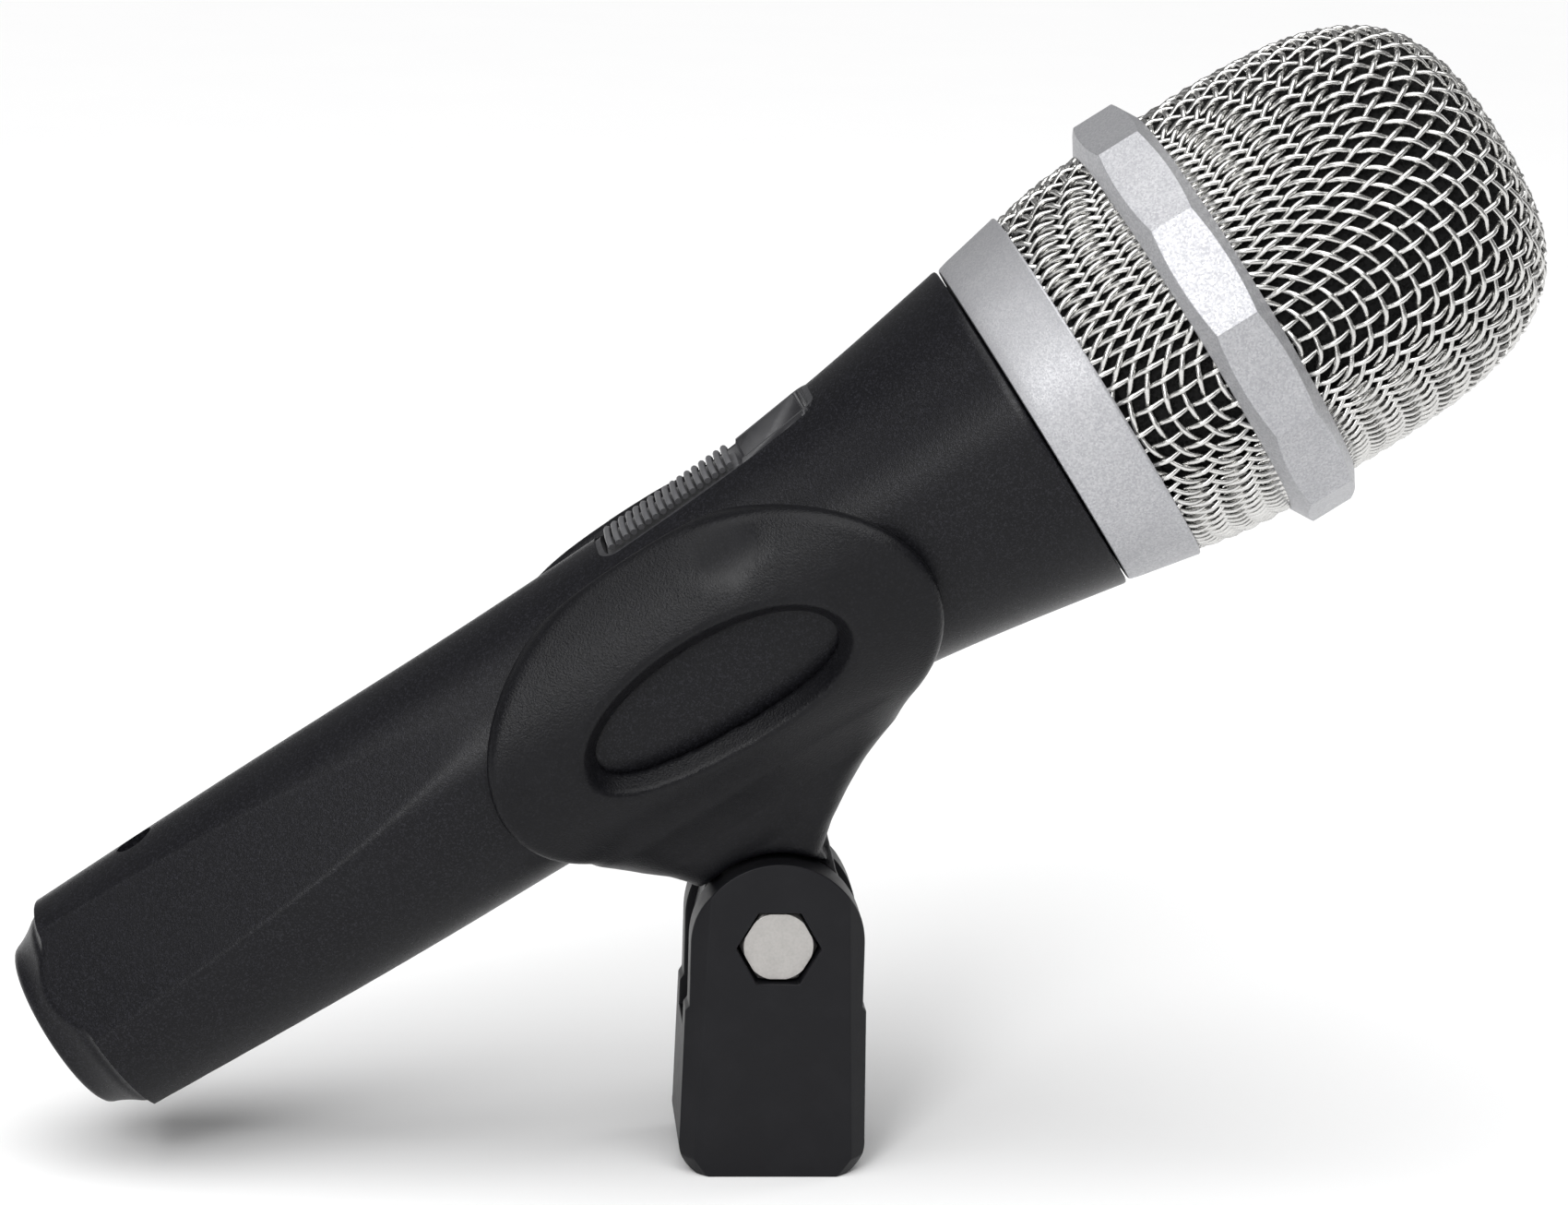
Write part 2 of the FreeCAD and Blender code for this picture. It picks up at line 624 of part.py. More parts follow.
def stand_adapter():
    plan = Part.makeLoft([adapter_plan(-HINGE_HEIGHT, 9.4, 11.6), adapter_plan(12, 7.9, 10.6)], True, True)
    adapter = adapter_blank().common(plan)
    adapter = adapter.common(Part.makeCone(12.4, 36.4, 48, Vector(0, 0, -HINGE_HEIGHT), Z_AXIS))
    adapter = adapter.cut(box((-20, 20), (-EAR_SLOT_HALF, EAR_SLOT_HALF), (EAR_SLOT_FLOOR, 20)))
    adapter = adapter.cut(Part.makeCylinder(BOLT_BORE, 60, Vector(0, -30, 0), Y_AXIS))
    for y_span in ((-20, -POCKET_FLOOR), (POCKET_FLOOR, 20)):
        adapter = adapter.cut(hexagon(POCKET_FLATS, y_span, 0))
    return adapter.cut(Part.makeCylinder(INSERT_RADIUS, INSERT_LENGTH, Vector(0, 0, -HINGE_HEIGHT), Z_AXIS))


def thread_insert():
    outer = Part.makeCylinder(INSERT_RADIUS, INSERT_LENGTH, ORIGIN, Z_AXIS)
    return outer.cut(Part.makeCylinder(THREAD_RADIUS, INSERT_LENGTH, ORIGIN, Z_AXIS))


def hinge_bolt():
    head = hexagon(BOLT_HEAD_FLATS, (-BOLT_FACE, -POCKET_FLOOR), 0)
    crown = Part.makeCone(BOLT_HEAD_FLATS / 2 + 0.1, BOLT_HEAD_FLATS / 2 + 3.1, 3.0, Vector(0, -BOLT_FACE, 0), Y_AXIS)
    head = head.common(crown.fuse(Part.makeCylinder(8, 3, Vector(0, -BOLT_FACE + 2.0, 0), Y_AXIS)))
    shank = Part.makeCylinder(BOLT_RADIUS, BOLT_TIP + POCKET_FLOOR, Vector(0, -POCKET_FLOOR, 0), Y_AXIS)
    return fused([head, shank])


def hinge_nut():
    nut = hexagon(BOLT_HEAD_FLATS, (POCKET_FLOOR, EAR_HALF_THICKNESS - 0.2), 0)
    return nut.cut(Part.makeCylinder(BOLT_RADIUS, 20, Vector(0, 0, 0), Y_AXIS))


def hinge_washers():
    washers = []
    for low, high in (WASHER_SPAN, (-WASHER_SPAN[1], -WASHER_SPAN[0])):
        disc = Part.makeCylinder(WASHER_RADIUS, high - low, Vector(0, low, 0), Y_AXIS)
        washers.append(disc.cut(Part.makeCylinder(BOLT_RADIUS, 20, Vector(0, -10, 0), Y_AXIS)))
    return Part.makeCompound(washers)


# ---- all nodes ------------------------------------------------------------------------------
MICROPHONE_NODES = {
    "handle_shell": handle_shell,
    "switch_plate": switch_plate,
    "switch_slider": switch_slider,
    "switch_lever": switch_lever,
    "slide_switch": slide_switch,
    "switch_circuit_board": switch_circuit_board,
    "switch_screws": switch_screws,
    "xlr_insert": xlr_insert,
    "xlr_pins": lambda: Part.makeCompound([xlr_pin(y, z) for y, z in pin_places()]),
    "xlr_set_screw": xlr_set_screw,
    "plug_leads": plug_leads,
    "capsule_leads": capsule_leads,
    "shock_mount": shock_mount,
    "capsule_housing": capsule_housing,
    "capsule_cap": capsule_cap,
    "capsule_screen": capsule_screen,
    "magnet_yoke": magnet_yoke,
    "magnet": lambda: rod((MAGNET_START, POLE_START), MAGNET_RADIUS),
    "pole_piece": lambda: rod((POLE_START, POLE_END), POLE_RADIUS),
    "voice_coil": lambda: tube(COIL_SPAN, *COIL_RADII),
    "diaphragm": diaphragm,
    "rear_chamber": rear_chamber,
    "acoustic_felt": lambda: rod((HOUSING_START - 3.5, HOUSING_START), CHAMBER_RADIUS - 1.2),
    "grille_collar": grille_collar,
    "grille_lower": lambda: lower_shell(0, GRILLE_WALL, COLLAR_END),
    "grille_ring": grille_ring,
    "grille_top": lambda: dome_shell(0, GRILLE_WALL),
    "foam_liner": foam_liner,
    "clip_cradle": clip_cradle,
}
HINGE_NODES = {
    "stand_adapter": stand_adapter,
    "hinge_bolt": hinge_bolt,
    "hinge_nut": hinge_nut,
    "hinge_washers": hinge_washers,
}


def main():
    os.makedirs("parts", exist_ok=True)
    shapes = {name: on_microphone(make()) for name, make in MICROPHONE_NODES.items()}
    shapes.update({name: on_hinge(make()) for name, make in HINGE_NODES.items()})
    shapes["thread_insert"] = thread_insert()
    for name, shape in shapes.items():
        shape.exportStep("parts/" + name + ".step")
        print(name, "solids", len(shape.Solids), "valid", shape.isValid(), "volume", round(shape.Volume, 1))


main()
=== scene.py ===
import json
import math

import bmesh
import bpy
import numpy as np
from bpy.props import FloatProperty, FloatVectorProperty, IntProperty, PointerProperty
from mathutils import Matrix, Vector


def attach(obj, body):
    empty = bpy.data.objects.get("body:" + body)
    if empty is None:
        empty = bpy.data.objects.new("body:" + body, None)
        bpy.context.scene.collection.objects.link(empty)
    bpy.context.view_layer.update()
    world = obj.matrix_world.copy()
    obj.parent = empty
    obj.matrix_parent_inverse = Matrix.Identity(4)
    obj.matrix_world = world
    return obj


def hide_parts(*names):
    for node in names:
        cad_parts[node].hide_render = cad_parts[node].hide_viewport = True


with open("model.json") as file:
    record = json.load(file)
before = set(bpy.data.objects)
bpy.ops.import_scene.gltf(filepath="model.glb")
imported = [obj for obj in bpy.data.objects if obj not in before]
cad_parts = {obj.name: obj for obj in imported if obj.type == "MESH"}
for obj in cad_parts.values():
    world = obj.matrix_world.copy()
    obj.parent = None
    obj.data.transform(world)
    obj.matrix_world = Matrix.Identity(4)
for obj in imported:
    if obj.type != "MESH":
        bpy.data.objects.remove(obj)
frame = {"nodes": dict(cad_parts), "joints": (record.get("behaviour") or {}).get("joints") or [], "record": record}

bl_info = {
    "name": "Vocal Microphone in a Stand Clip",
    "version": (1, 0, 0),
    "blender": (4, 5, 0),
    "location": "View3D > Sidebar > Microphone",
    "description": "Builds the finished look of a hand-held vocal microphone around its CAD frame",
    "category": "Object",
}

# ---- the microphone frame -------------------------------------------------------------------
# Shapes are drawn in millimetres in the microphone frame: x along its axis to the head, z to
# the switch side, y to the far cheek of the clip, x = 0 at the foot of the perpendicular from
# the hinge. TO_ROW takes them to the row frame, in metres.
JOINTS = {joint["name"]: joint for joint in frame["joints"]}
HINGE = Vector(JOINTS["clip_tilt"]["pos_m"])
ALONG = Vector(JOINTS["grille_off"]["axis"])
TILT = math.atan2(ALONG.z, ALONG.x)
AXIS_OFFSET = 35.3                          # from the hinge to the microphone's axis
MM = 0.001
SWITCH_SIDE = Vector((-ALONG.z, 0, ALONG.x))
TO_ROW = (Matrix.Translation(HINGE + SWITCH_SIDE * AXIS_OFFSET * MM)
          @ Matrix.Rotation(-TILT, 4, "Y") @ Matrix.Scale(MM, 4))
FROM_HINGE = Matrix.Translation(HINGE) @ Matrix.Scale(MM, 4)
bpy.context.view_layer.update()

# ---- sizes shared by several pieces, in millimetres -----------------------------------------
TAIL_X, SHOULDER_X, HANDLE_END = -77.3, -71.9, 57.3
HANDLE_OUTLINE = ((SHOULDER_X, 14.3), (-40, 14.95), (-10, 15.25), (10, 15.9), (30, 17.15), (45, 19.25),
                  (HANDLE_END, 21.4))
FLAT_ANGLES = (60, 180, 300)
FLAT_DISTANCE, FLAT_SLOPE, FLAT_END = 12.05, math.tan(math.radians(3.2)), 28.0
SOCKET_RADIUS, SOCKET_FLOOR = 8.15, -63.0
NECK_RADIUS, NECK_END, NECK_BORE = 19.6, 65.6, 17.2
SLOT_START, SLOT_END, SLOT_HALF, SLOT_CORNER = 6.9, 37.6, 6.2, 2.2
SLIDER_START, SLIDER_LENGTH, SLIDER_HALF, SLIDER_BASE, SLIDER_CROWN = 7.75, 18.5, 5.2, 13.6, -0.15
RIB_COUNT, RIB_PITCH = 17, 1.04
TRAY_STEP, TRAY_RAIL_TOP = 27.0, 13.6
TRAY_RIM_DROP, TRAY_FRONT_DROP = 0.25, 0.65    # below the handle beside the slide, below the CAD rim in front
COLLAR_START, COLLAR_END, COLLAR_RADII = 57.6, 66.4, (21.3, 23.05)
LOWER_END, RING_END, RING_RADIUS = 78.0, 86.4, 27.0
RING_FACETS, RING_PHASE, RING_FLANK = 12, 8.0, 1.6
GRILLE_RADIUS, LOWER_CURVE, DOME_END, DOME_POWER = 24.0, 0.0095, 120.5, 3.35
GRILLE_WALL = 1.2
CLIP_GAP, CLIP_WALL = 0.3, 3.2
CLIP_CENTRE, CLIP_HALF, CLIP_OPENING = (10.4, -3.45), (28.4, 18.75), math.radians(52)
WINDOW_OVALS = ((21.5, (9.6, -5.0), (19.0, 11.3)), (14.0, (10.3, -3.65), (14.3, 4.85)))
NECK_SECTIONS = ((-15.5, (-13.5, 31.0), 12.0, 8.0), (-19.8, (-9.5, 26.0), 9.6, 6.0),
                 (-22.0, (-6.9, 20.8), 8.8, 5.0),
                 (-24.0, (-5.2, 17.2), 8.0, 4.0), (-26.5, (-3.9, 13.3), 7.6, 3.5),
                 (-29.0, (-2.9, 10.3), 7.4, 3.0))
RIM_ROUND, WINDOW_ROUND, WINDOW_DEPTH = 1.3, 0.6, 12
WAIST_BLEND, HINGE_BLEND, WEB_BLEND, TONGUE_ROUND, TONGUE_BLEND, BORE_ROUND = 2.5, 0.8, 1.0, 0.5, 0.6, 0.4
WAIST_HINGE, TONGUE_RADIUS, TONGUE_HALF, BOLT_BORE = 10.9, 9.3, 3.2, 2.58
WEB_CORNERS = ((-8.1, -30.8), (-3.2, -25.0), (12.2, -26.5), (9.3, -35.3))
FELT = (54.5, 58.0, 9.3)                    # start, end, radius


# ---- settings -------------------------------------------------------------------------------
class MicGrilleSettings(bpy.types.PropertyGroup):
    wire: FloatProperty(name="Wire", description="Diameter of the grille wire in millimetres", default=0.66)
    pitch: FloatProperty(name="Pitch", description="Spacing of the weave in millimetres", default=2.38)
    least_shear: FloatProperty(name="Least angle", description="Smallest angle between crossing wires",
                               default=math.radians(30), subtype="ANGLE")
    meridian: FloatProperty(name="Square meridian",
                            description="Where the weave stays square, round the axis",
                            default=math.radians(-84), subtype="ANGLE")
    sides: IntProperty(name="Sides", description="Sides of one wire", default=7)
    colour: FloatVectorProperty(name="Wire colour", description="Nickel-plated wire", subtype="COLOR",
                                default=(0.66, 0.655, 0.64))


class MicFinishSettings(bpy.types.PropertyGroup):
    paint: FloatVectorProperty(name="Handle paint", description="Satin black paint", subtype="COLOR",
                               default=(0.0055, 0.0055, 0.0068))
    silver: FloatVectorProperty(name="Silver paint", description="Matte silver paint", subtype="COLOR",
                                default=(0.36, 0.362, 0.38))
    nylon: FloatVectorProperty(name="Clip nylon", description="Black moulded nylon", subtype="COLOR",
                               default=(0.0045, 0.0045, 0.0056))
    adapter: FloatVectorProperty(name="Adapter plastic", description="Dark grey moulded plastic",
                                 subtype="COLOR",
                                 default=(0.008, 0.008, 0.0095))


class MicStageSettings(bpy.types.PropertyGroup):
    key_power: FloatProperty(name="Key light", description="Power of the key softbox", default=3.6,
                             subtype="POWER")
    sky_power: FloatProperty(name="Sky light", description="Strength of the soft light from above",
                             default=3.05)
    world: FloatProperty(name="Surroundings", description="Brightness of the white surroundings",
                         default=0.20)
    lens: FloatProperty(name="Lens", description="Focal length on a 36 mm wide sensor", default=100.28)


# ---- geometry helpers -----------------------------------------------------------------------
def link(name, mesh):
    piece = bpy.data.objects.new(name, mesh)
    bpy.context.scene.collection.objects.link(piece)
    return piece


def mesh_piece(name, points, faces):
    mesh = bpy.data.meshes.new(name)
    mesh.from_pydata([tuple(map(float, point)) for point in points], [], faces)
    mesh.update()
    return link(name, mesh)


def outward(piece):
    """Turns every face of a closed mesh to the outside, after merging doubles."""
    work = bmesh.new()
    work.from_mesh(piece.data)
    bmesh.ops.remove_doubles(work, verts=work.verts, dist=1e-5)
    bmesh.ops.recalc_face_normals(work, faces=work.faces)
    work.to_mesh(piece.data)
    work.free()
    return piece


def shade(piece, degrees=30.0):
    piece.data.shade_smooth()
    piece.data.set_sharp_from_angle(angle=math.radians(degrees))
    return piece


def settle(piece):
    """Turns the piece's modifiers into its plain mesh."""
    graph = bpy.context.evaluated_depsgraph_get()
    mesh = bpy.data.meshes.new_from_object(piece.evaluated_get(graph))
    piece.modifiers.clear()
    if piece.type != "MESH":
        plain = link(piece.name + "_mesh", mesh)
        name = piece.name
        bpy.data.objects.remove(piece)
        plain.name = name
        return plain
    piece.data = mesh
    return piece


def rounded(piece, width, segments=2, degrees=30.0):
    """Rounds the edges that turn more than an angle, and keeps the flat faces flat."""
    piece.data.shade_smooth()
    bevel = piece.modifiers.new("Round", "BEVEL")
    bevel.width = width
    bevel.segments = segments
    bevel.limit_method = "ANGLE"
    bevel.angle_limit = math.radians(degrees)
    even = piece.modifiers.new("Even", "WEIGHTED_NORMAL")
    even.weight = 60
    return settle(piece)


def carve(piece, cutter, operation="DIFFERENCE"):
    boolean = piece.modifiers.new("Carve", "BOOLEAN")
    boolean.operation = operation
    boolean.solver = "EXACT"
    boolean.object = cutter
    piece = settle(piece)
    bpy.data.objects.remove(cutter)
    return piece


def placed(piece, matrix):
    piece.data.transform(matrix)
    piece.data.update()
    return piece


def finished(piece, material, body, slot, *nodes, matrix=TO_ROW):
    """Places a piece, paints it, parents it to the empty of its CAD body, and hides the CAD nodes that it stands
    in for.
    """
    placed(piece, matrix)
    piece.data.materials.clear()
    piece.data.materials.append(material)
    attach(piece, body)
    if nodes:
        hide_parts(*nodes)
    return piece


def ring_faces(rows, columns, closed_rows):
    """Quads over a grid that is closed round its columns, and round its rows where asked."""
    faces = []
    for row in range(rows if closed_rows else rows - 1):
        after = (row + 1) % rows
        for column in range(columns):
            side = (column + 1) % columns
            faces.append((row * columns + column, after * columns + column,
                          after * columns + side, row * columns + side))
    return faces


def lathe(name, outline, columns=96, shape=None):
    """A closed outline of (x, radius) turned about the axis. shape may change a radius by its angle."""
    angles = np.linspace(0, 2 * math.pi, columns, endpoint=False)
    points = []
    for x, radius in outline:
        radii = shape(x, radius, angles) if shape else np.full(columns, radius)
        points += [(x, r * math.sin(a), r * math.cos(a)) for r, a in zip(radii, angles)]
    return outward(mesh_piece(name, points, ring_faces(len(outline), columns, True)))


def prism(name, outline, span, axis=1):
    """An outline of two coordinates swept along the third axis, both ends closed."""
    points = []
    for level in span:
        for pair in outline:
            point = list(pair)
            point.insert(axis, level)
            points.append(point)
    count = len(outline)
    faces = [tuple(range(count)), tuple(range(2 * count - 1, count - 1, -1))]
    faces += [(i, count + i, count + (i + 1) % count, (i + 1) % count) for i in range(count)]
    return outward(mesh_piece(name, points, faces))


def rounded_rectangle(x_span, half_width, corner, steps=8):
    """Outline in x and y with round corners."""
    outline = []
    centres = ((x_span[1] - corner, half_width - corner, 0), (x_span[0] + corner, half_width - corner, 90),
               (x_span[0] + corner, corner - half_width, 180),
               (x_span[1] - corner, corner - half_width, 270))
    for x, y, start in centres:
        for step in range(steps + 1):
            turn = math.radians(start + 90 * step / steps)
            outline.append((x + corner * math.cos(turn), y + corner * math.sin(turn)))
    return outline


def natural_spline(points):
    """A smooth curve through points of (x, radius), as a function of x."""
    x, y = (np.array(column, float) for column in zip(*points))
    gap, rise = np.diff(x), np.diff(y)
    count = len(x)
    system, right = np.eye(count), np.zeros(count)
    for i in range(1, count - 1):
        system[i, i - 1:i + 2] = gap[i - 1], 2 * (gap[i - 1] + gap[i]), gap[i]
        right[i] = 6 * (rise[i] / gap[i] - rise[i - 1] / gap[i - 1])
    bend = np.linalg.solve(system, right)

    def radius(at):
        at = np.asarray(at, float)
        i = np.clip(np.searchsorted(x, at) - 1, 0, count - 2)
        left, side = at - x[i], x[i + 1] - at
        return (bend[i] * side ** 3 + bend[i + 1] * left ** 3) / (6 * gap[i]) \
            + (y[i] / gap[i] - bend[i] * gap[i] / 6) * side + (y[i + 1] / gap[i] - bend[i + 1] * gap[i] / 6) * left
    return radius


grip_radius = natural_spline(HANDLE_OUTLINE)


def lower_radius(x):
    return GRILLE_RADIUS - LOWER_CURVE * (LOWER_END + 1 - x) ** 2


def smooth_least(a, b, blend):
    """The smaller of two values, with the corner between them rounded."""
    share = np.clip(0.5 + 0.5 * (b - a) / blend, 0, 1)
    return b + (a - b) * share - blend * share * (1 - share)


def smooth_most(a, b, blend):
    return -smooth_least(-a, -b, blend)


# ---- geometry node trees --------------------------------------------------------------------
def new_tree(name, sockets):
    """A geometry tree with named inputs. Returns it with its input and output nodes."""
    tree = bpy.data.node_groups.new(name, "GeometryNodeTree")
    tree.interface.new_socket("Geometry", in_out="INPUT", socket_type="NodeSocketGeometry")
    for label, kind in sockets:
        tree.interface.new_socket(label, in_out="INPUT", socket_type=kind)
    tree.interface.new_socket("Geometry", in_out="OUTPUT", socket_type="NodeSocketGeometry")
    return tree, tree.nodes.new("NodeGroupInput"), tree.nodes.new("NodeGroupOutput")


def close_tree(tree, geometry, start, end):
    """Every tree ends in Realize Instances and Set Material."""
    smooth = tree.nodes.new("GeometryNodeSetShadeSmooth")
    real = tree.nodes.new("GeometryNodeRealizeInstances")
    paint = tree.nodes.new("GeometryNodeSetMaterial")
    tree.links.new(geometry, smooth.inputs["Geometry"])
    tree.links.new(smooth.outputs[0], real.inputs[0])
    tree.links.new(real.outputs[0], paint.inputs["Geometry"])
    tree.links.new(start.outputs["Material"], paint.inputs["Material"])
    tree.links.new(paint.outputs[0], end.inputs[0])
    return tree


def grow(piece, tree, values):
    """Runs a tree on a piece with its named inputs set, and keeps the result as plain mesh."""
    modifier = piece.modifiers.new("Grow", "NODES")
    modifier.node_group = tree
    for item in tree.interface.items_tree:
        if item.in_out == "INPUT" and item.name in values:
            modifier[item.identifier] = values[item.name]
    return settle(piece)


def wire_tree():
    """Round wire along every chain of edges."""
    tree, start, end = new_tree("Round wire", (("Radius", "NodeSocketFloat"), ("Sides", "NodeSocketInt"),
                                               ("Material", "NodeSocketMaterial")))
    chain = tree.nodes.new("GeometryNodeMeshToCurve")
    circle = tree.nodes.new("GeometryNodeCurvePrimitiveCircle")
    sweep = tree.nodes.new("GeometryNodeCurveToMesh")
    sweep.inputs["Fill Caps"].default_value = True
    tree.links.new(start.outputs["Geometry"], chain.inputs["Mesh"])
    tree.links.new(start.outputs["Radius"], circle.inputs["Radius"])
    tree.links.new(start.outputs["Sides"], circle.inputs["Resolution"])
    tree.links.new(chain.outputs[0], sweep.inputs["Curve"])
    tree.links.new(circle.outputs[0], sweep.inputs["Profile Curve"])
    return close_tree(tree, sweep.outputs[0], start, end)


def row_tree():
    """Copies of one small piece in a straight row, each a step larger than the last."""
    tree, start, end = new_tree("Row of ribs", (("Count", "NodeSocketInt"), ("Step", "NodeSocketVector"),
                                                ("Material", "NodeSocketMaterial")))
    line = tree.nodes.new("GeometryNodeMeshLine")
    copies = tree.nodes.new("GeometryNodeInstanceOnPoints")
    tree.links.new(start.outputs["Count"], line.inputs["Count"])
    tree.links.new(start.outputs["Step"], line.inputs["Offset"])
    tree.links.new(line.outputs[0], copies.inputs["Points"])
    tree.links.new(start.outputs["Geometry"], copies.inputs["Instance"])
    return close_tree(tree, copies.outputs[0], start, end)


# ---- materials ------------------------------------------------------------------------------
class Finish:
    """A procedural material on object coordinates, scaled to millimetres."""

    def __init__(self, name, colour, roughness, metallic=0.0, specular=0.5):
        self.material = bpy.data.materials.new(name)
        self.material.use_nodes = True
        self.material.diffuse_color = (*colour, 1)
        self.nodes = self.material.node_tree.nodes
        self.links = self.material.node_tree.links
        self.shader = self.nodes["Principled BSDF"]
        self.shader.inputs["Base Color"].default_value = (*colour, 1)
        self.shader.inputs["Roughness"].default_value = roughness
        self.shader.inputs["Metallic"].default_value = metallic
        self.shader.inputs["Specular IOR Level"].default_value = specular
        place = self.nodes.new("ShaderNodeTexCoord")
        self.scale = self.nodes.new("ShaderNodeMapping")
        self.scale.inputs["Scale"].default_value = (1 / MM,) * 3
        self.links.new(place.outputs["Object"], self.scale.inputs["Vector"])
        self.colour = None
        self.rough = None
        self.height = None
        self.base = (*colour, 1)
        self.roughness = roughness

    def place(self, stretch=(1, 1, 1)):
        mapping = self.nodes.new("ShaderNodeMapping")
        mapping.inputs["Scale"].default_value = stretch
        self.links.new(self.scale.outputs[0], mapping.inputs["Vector"])
        return mapping.outputs[0]

    def noise(self, size, detail=2.0, vector=None, rough=0.5):
        node = self.nodes.new("ShaderNodeTexNoise")
        node.inputs["Scale"].default_value = 1 / size
        node.inputs["Detail"].default_value = detail
        node.inputs["Roughness"].default_value = rough
        self.links.new(vector or self.scale.outputs[0], node.inputs["Vector"])
        return node.outputs["Fac"]

    def cells(self, size, output="Distance"):
        node = self.nodes.new("ShaderNodeTexVoronoi")
        node.inputs["Scale"].default_value = 1 / size
        self.links.new(self.scale.outputs[0], node.inputs["Vector"])
        return node.outputs[output]

    def stretch(self, value, low, high, to_low=0.0, to_high=1.0):
        node = self.nodes.new("ShaderNodeMapRange")
        node.inputs["From Min"].default_value = low
        node.inputs["From Max"].default_value = high
        node.inputs["To Min"].default_value = to_low
        node.inputs["To Max"].default_value = to_high
        self.links.new(value, node.inputs["Value"])
        return node.outputs["Result"]

    def times(self, a, b):
        node = self.nodes.new("ShaderNodeMath")
        node.operation = "MULTIPLY"
        for socket, value in zip(node.inputs, (a, b)):
            if isinstance(value, (int, float)):
                socket.default_value = value
            else:
                self.links.new(value, socket)
        return node.outputs[0]

    def near(self, point, inner, outer, rough_edge=2.0):
        """1 near a point of the microphone frame, fading to 0, with an uneven edge."""
        here = self.nodes.new("ShaderNodeVectorMath")
        here.operation = "DISTANCE"
        target = TO_ROW @ Vector(point) / MM
        here.inputs[1].default_value = target
        self.links.new(self.scale.outputs[0], here.inputs[0])
        wander = self.times(self.noise(3.5, 3.0), rough_edge * 2)
        total = self.nodes.new("ShaderNodeMath")
        total.operation = "ADD"
        self.links.new(here.outputs["Value"], total.inputs[0])
        self.links.new(wander, total.inputs[1])
        return self.stretch(total.outputs[0], inner + rough_edge, outer + rough_edge, 1.0, 0.0)

    def tint(self, factor, colour):
        """Mixes a second colour in by a factor."""
        node = self.nodes.new("ShaderNodeMix")
        node.data_type = "RGBA"
        self.links.new(factor, node.inputs["Factor"])
        if self.colour:
            self.links.new(self.colour, node.inputs[6])
        else:
            node.inputs[6].default_value = self.base
        node.inputs[7].default_value = (*colour, 1)
        self.colour = node.outputs[2]
        self.links.new(self.colour, self.shader.inputs["Base Color"])
        return self

    def polish(self, factor, roughness):
        """Mixes a second roughness in by a factor."""
        node = self.nodes.new("ShaderNodeMix")
        self.links.new(factor, node.inputs["Factor"])
        if self.rough:
            self.links.new(self.rough, node.inputs[2])
        else:
            node.inputs[2].default_value = self.roughness
        node.inputs[3].default_value = roughness
        self.rough = node.outputs[0]
        self.links.new(self.rough, self.shader.inputs["Roughness"])
        return self

    def bump(self, value, depth, strength=1.0):
        """Adds surface relief. The depth is in millimetres."""
        node = self.nodes.new("ShaderNodeBump")
        node.inputs["Strength"].default_value = strength
        node.inputs["Distance"].default_value = depth * MM
        self.links.new(value, node.inputs["Height"])
        if self.height:
            self.links.new(self.height, node.inputs["Normal"])
        self.height = node.outputs[0]
        self.links.new(self.height, self.shader.inputs["Normal"])
        return self


def handle_paint():
    colour = bpy.context.scene.mic_finish.paint
    finish = Finish("satin_black_paint", colour, 0.33, specular=0.15)
    flake = finish.stretch(finish.cells(0.17, "Color"), 0.55, 1.0)
    finish.tint(flake, (0.020, 0.020, 0.024)).polish(flake, 0.25)
    finish.tint(finish.stretch(finish.noise(9.0, 3.0), 0.45, 0.8, 0.0, 0.35), (0.009, 0.009, 0.0105))
    finish.bump(finish.noise(0.17, 2.0), 0.024, 0.9)
    finish.bump(finish.noise(0.55, 2.0), 0.03, 0.35)
    return finish.material


def silver_paint():
    colour = bpy.context.scene.mic_finish.silver
    finish = Finish("matte_silver_paint", colour, 0.50, metallic=0.55, specular=0.5)
    grain = finish.stretch(finish.cells(0.20, "Color"), 0.2, 0.95)
    finish.tint(finish.times(grain, 0.42), (0.68, 0.68, 0.69))
    finish.tint(finish.stretch(finish.noise(4.0, 3.0), 0.4, 0.75, 0.0, 0.25), (0.31, 0.31, 0.33))
    finish.polish(grain, 0.38)
    finish.bump(finish.noise(0.18, 2.0), 0.020, 0.9)
    return finish.material


def nickel_wire():
    colour = bpy.context.scene.mic_grille.colour
    finish = Finish("nickel_wire", colour, 0.24, metallic=1.0)
    finish.tint(finish.stretch(finish.noise(1.1, 3.0), 0.45, 0.75, 0.0, 0.5), (0.47, 0.465, 0.45))
    finish.polish(finish.stretch(finish.noise(0.5, 2.0), 0.4, 0.7), 0.34)
    finish.bump(finish.noise(0.12, 2.0), 0.008, 0.6)
    return finish.material


def black_foam():
    finish = Finish("black_foam", (0.006, 0.006, 0.006), 0.95, specular=0.15)
    pores = finish.stretch(finish.cells(0.55), 0.05, 0.5)
    finish.tint(finish.times(pores, 0.6), (0.014, 0.014, 0.014))
    finish.tint(finish.stretch(finish.noise(0.3, 3.0), 0.62, 0.72, 0.0, 0.5), (0.03, 0.03, 0.03))
    finish.bump(pores, 0.25, 1.0)
    return finish.material


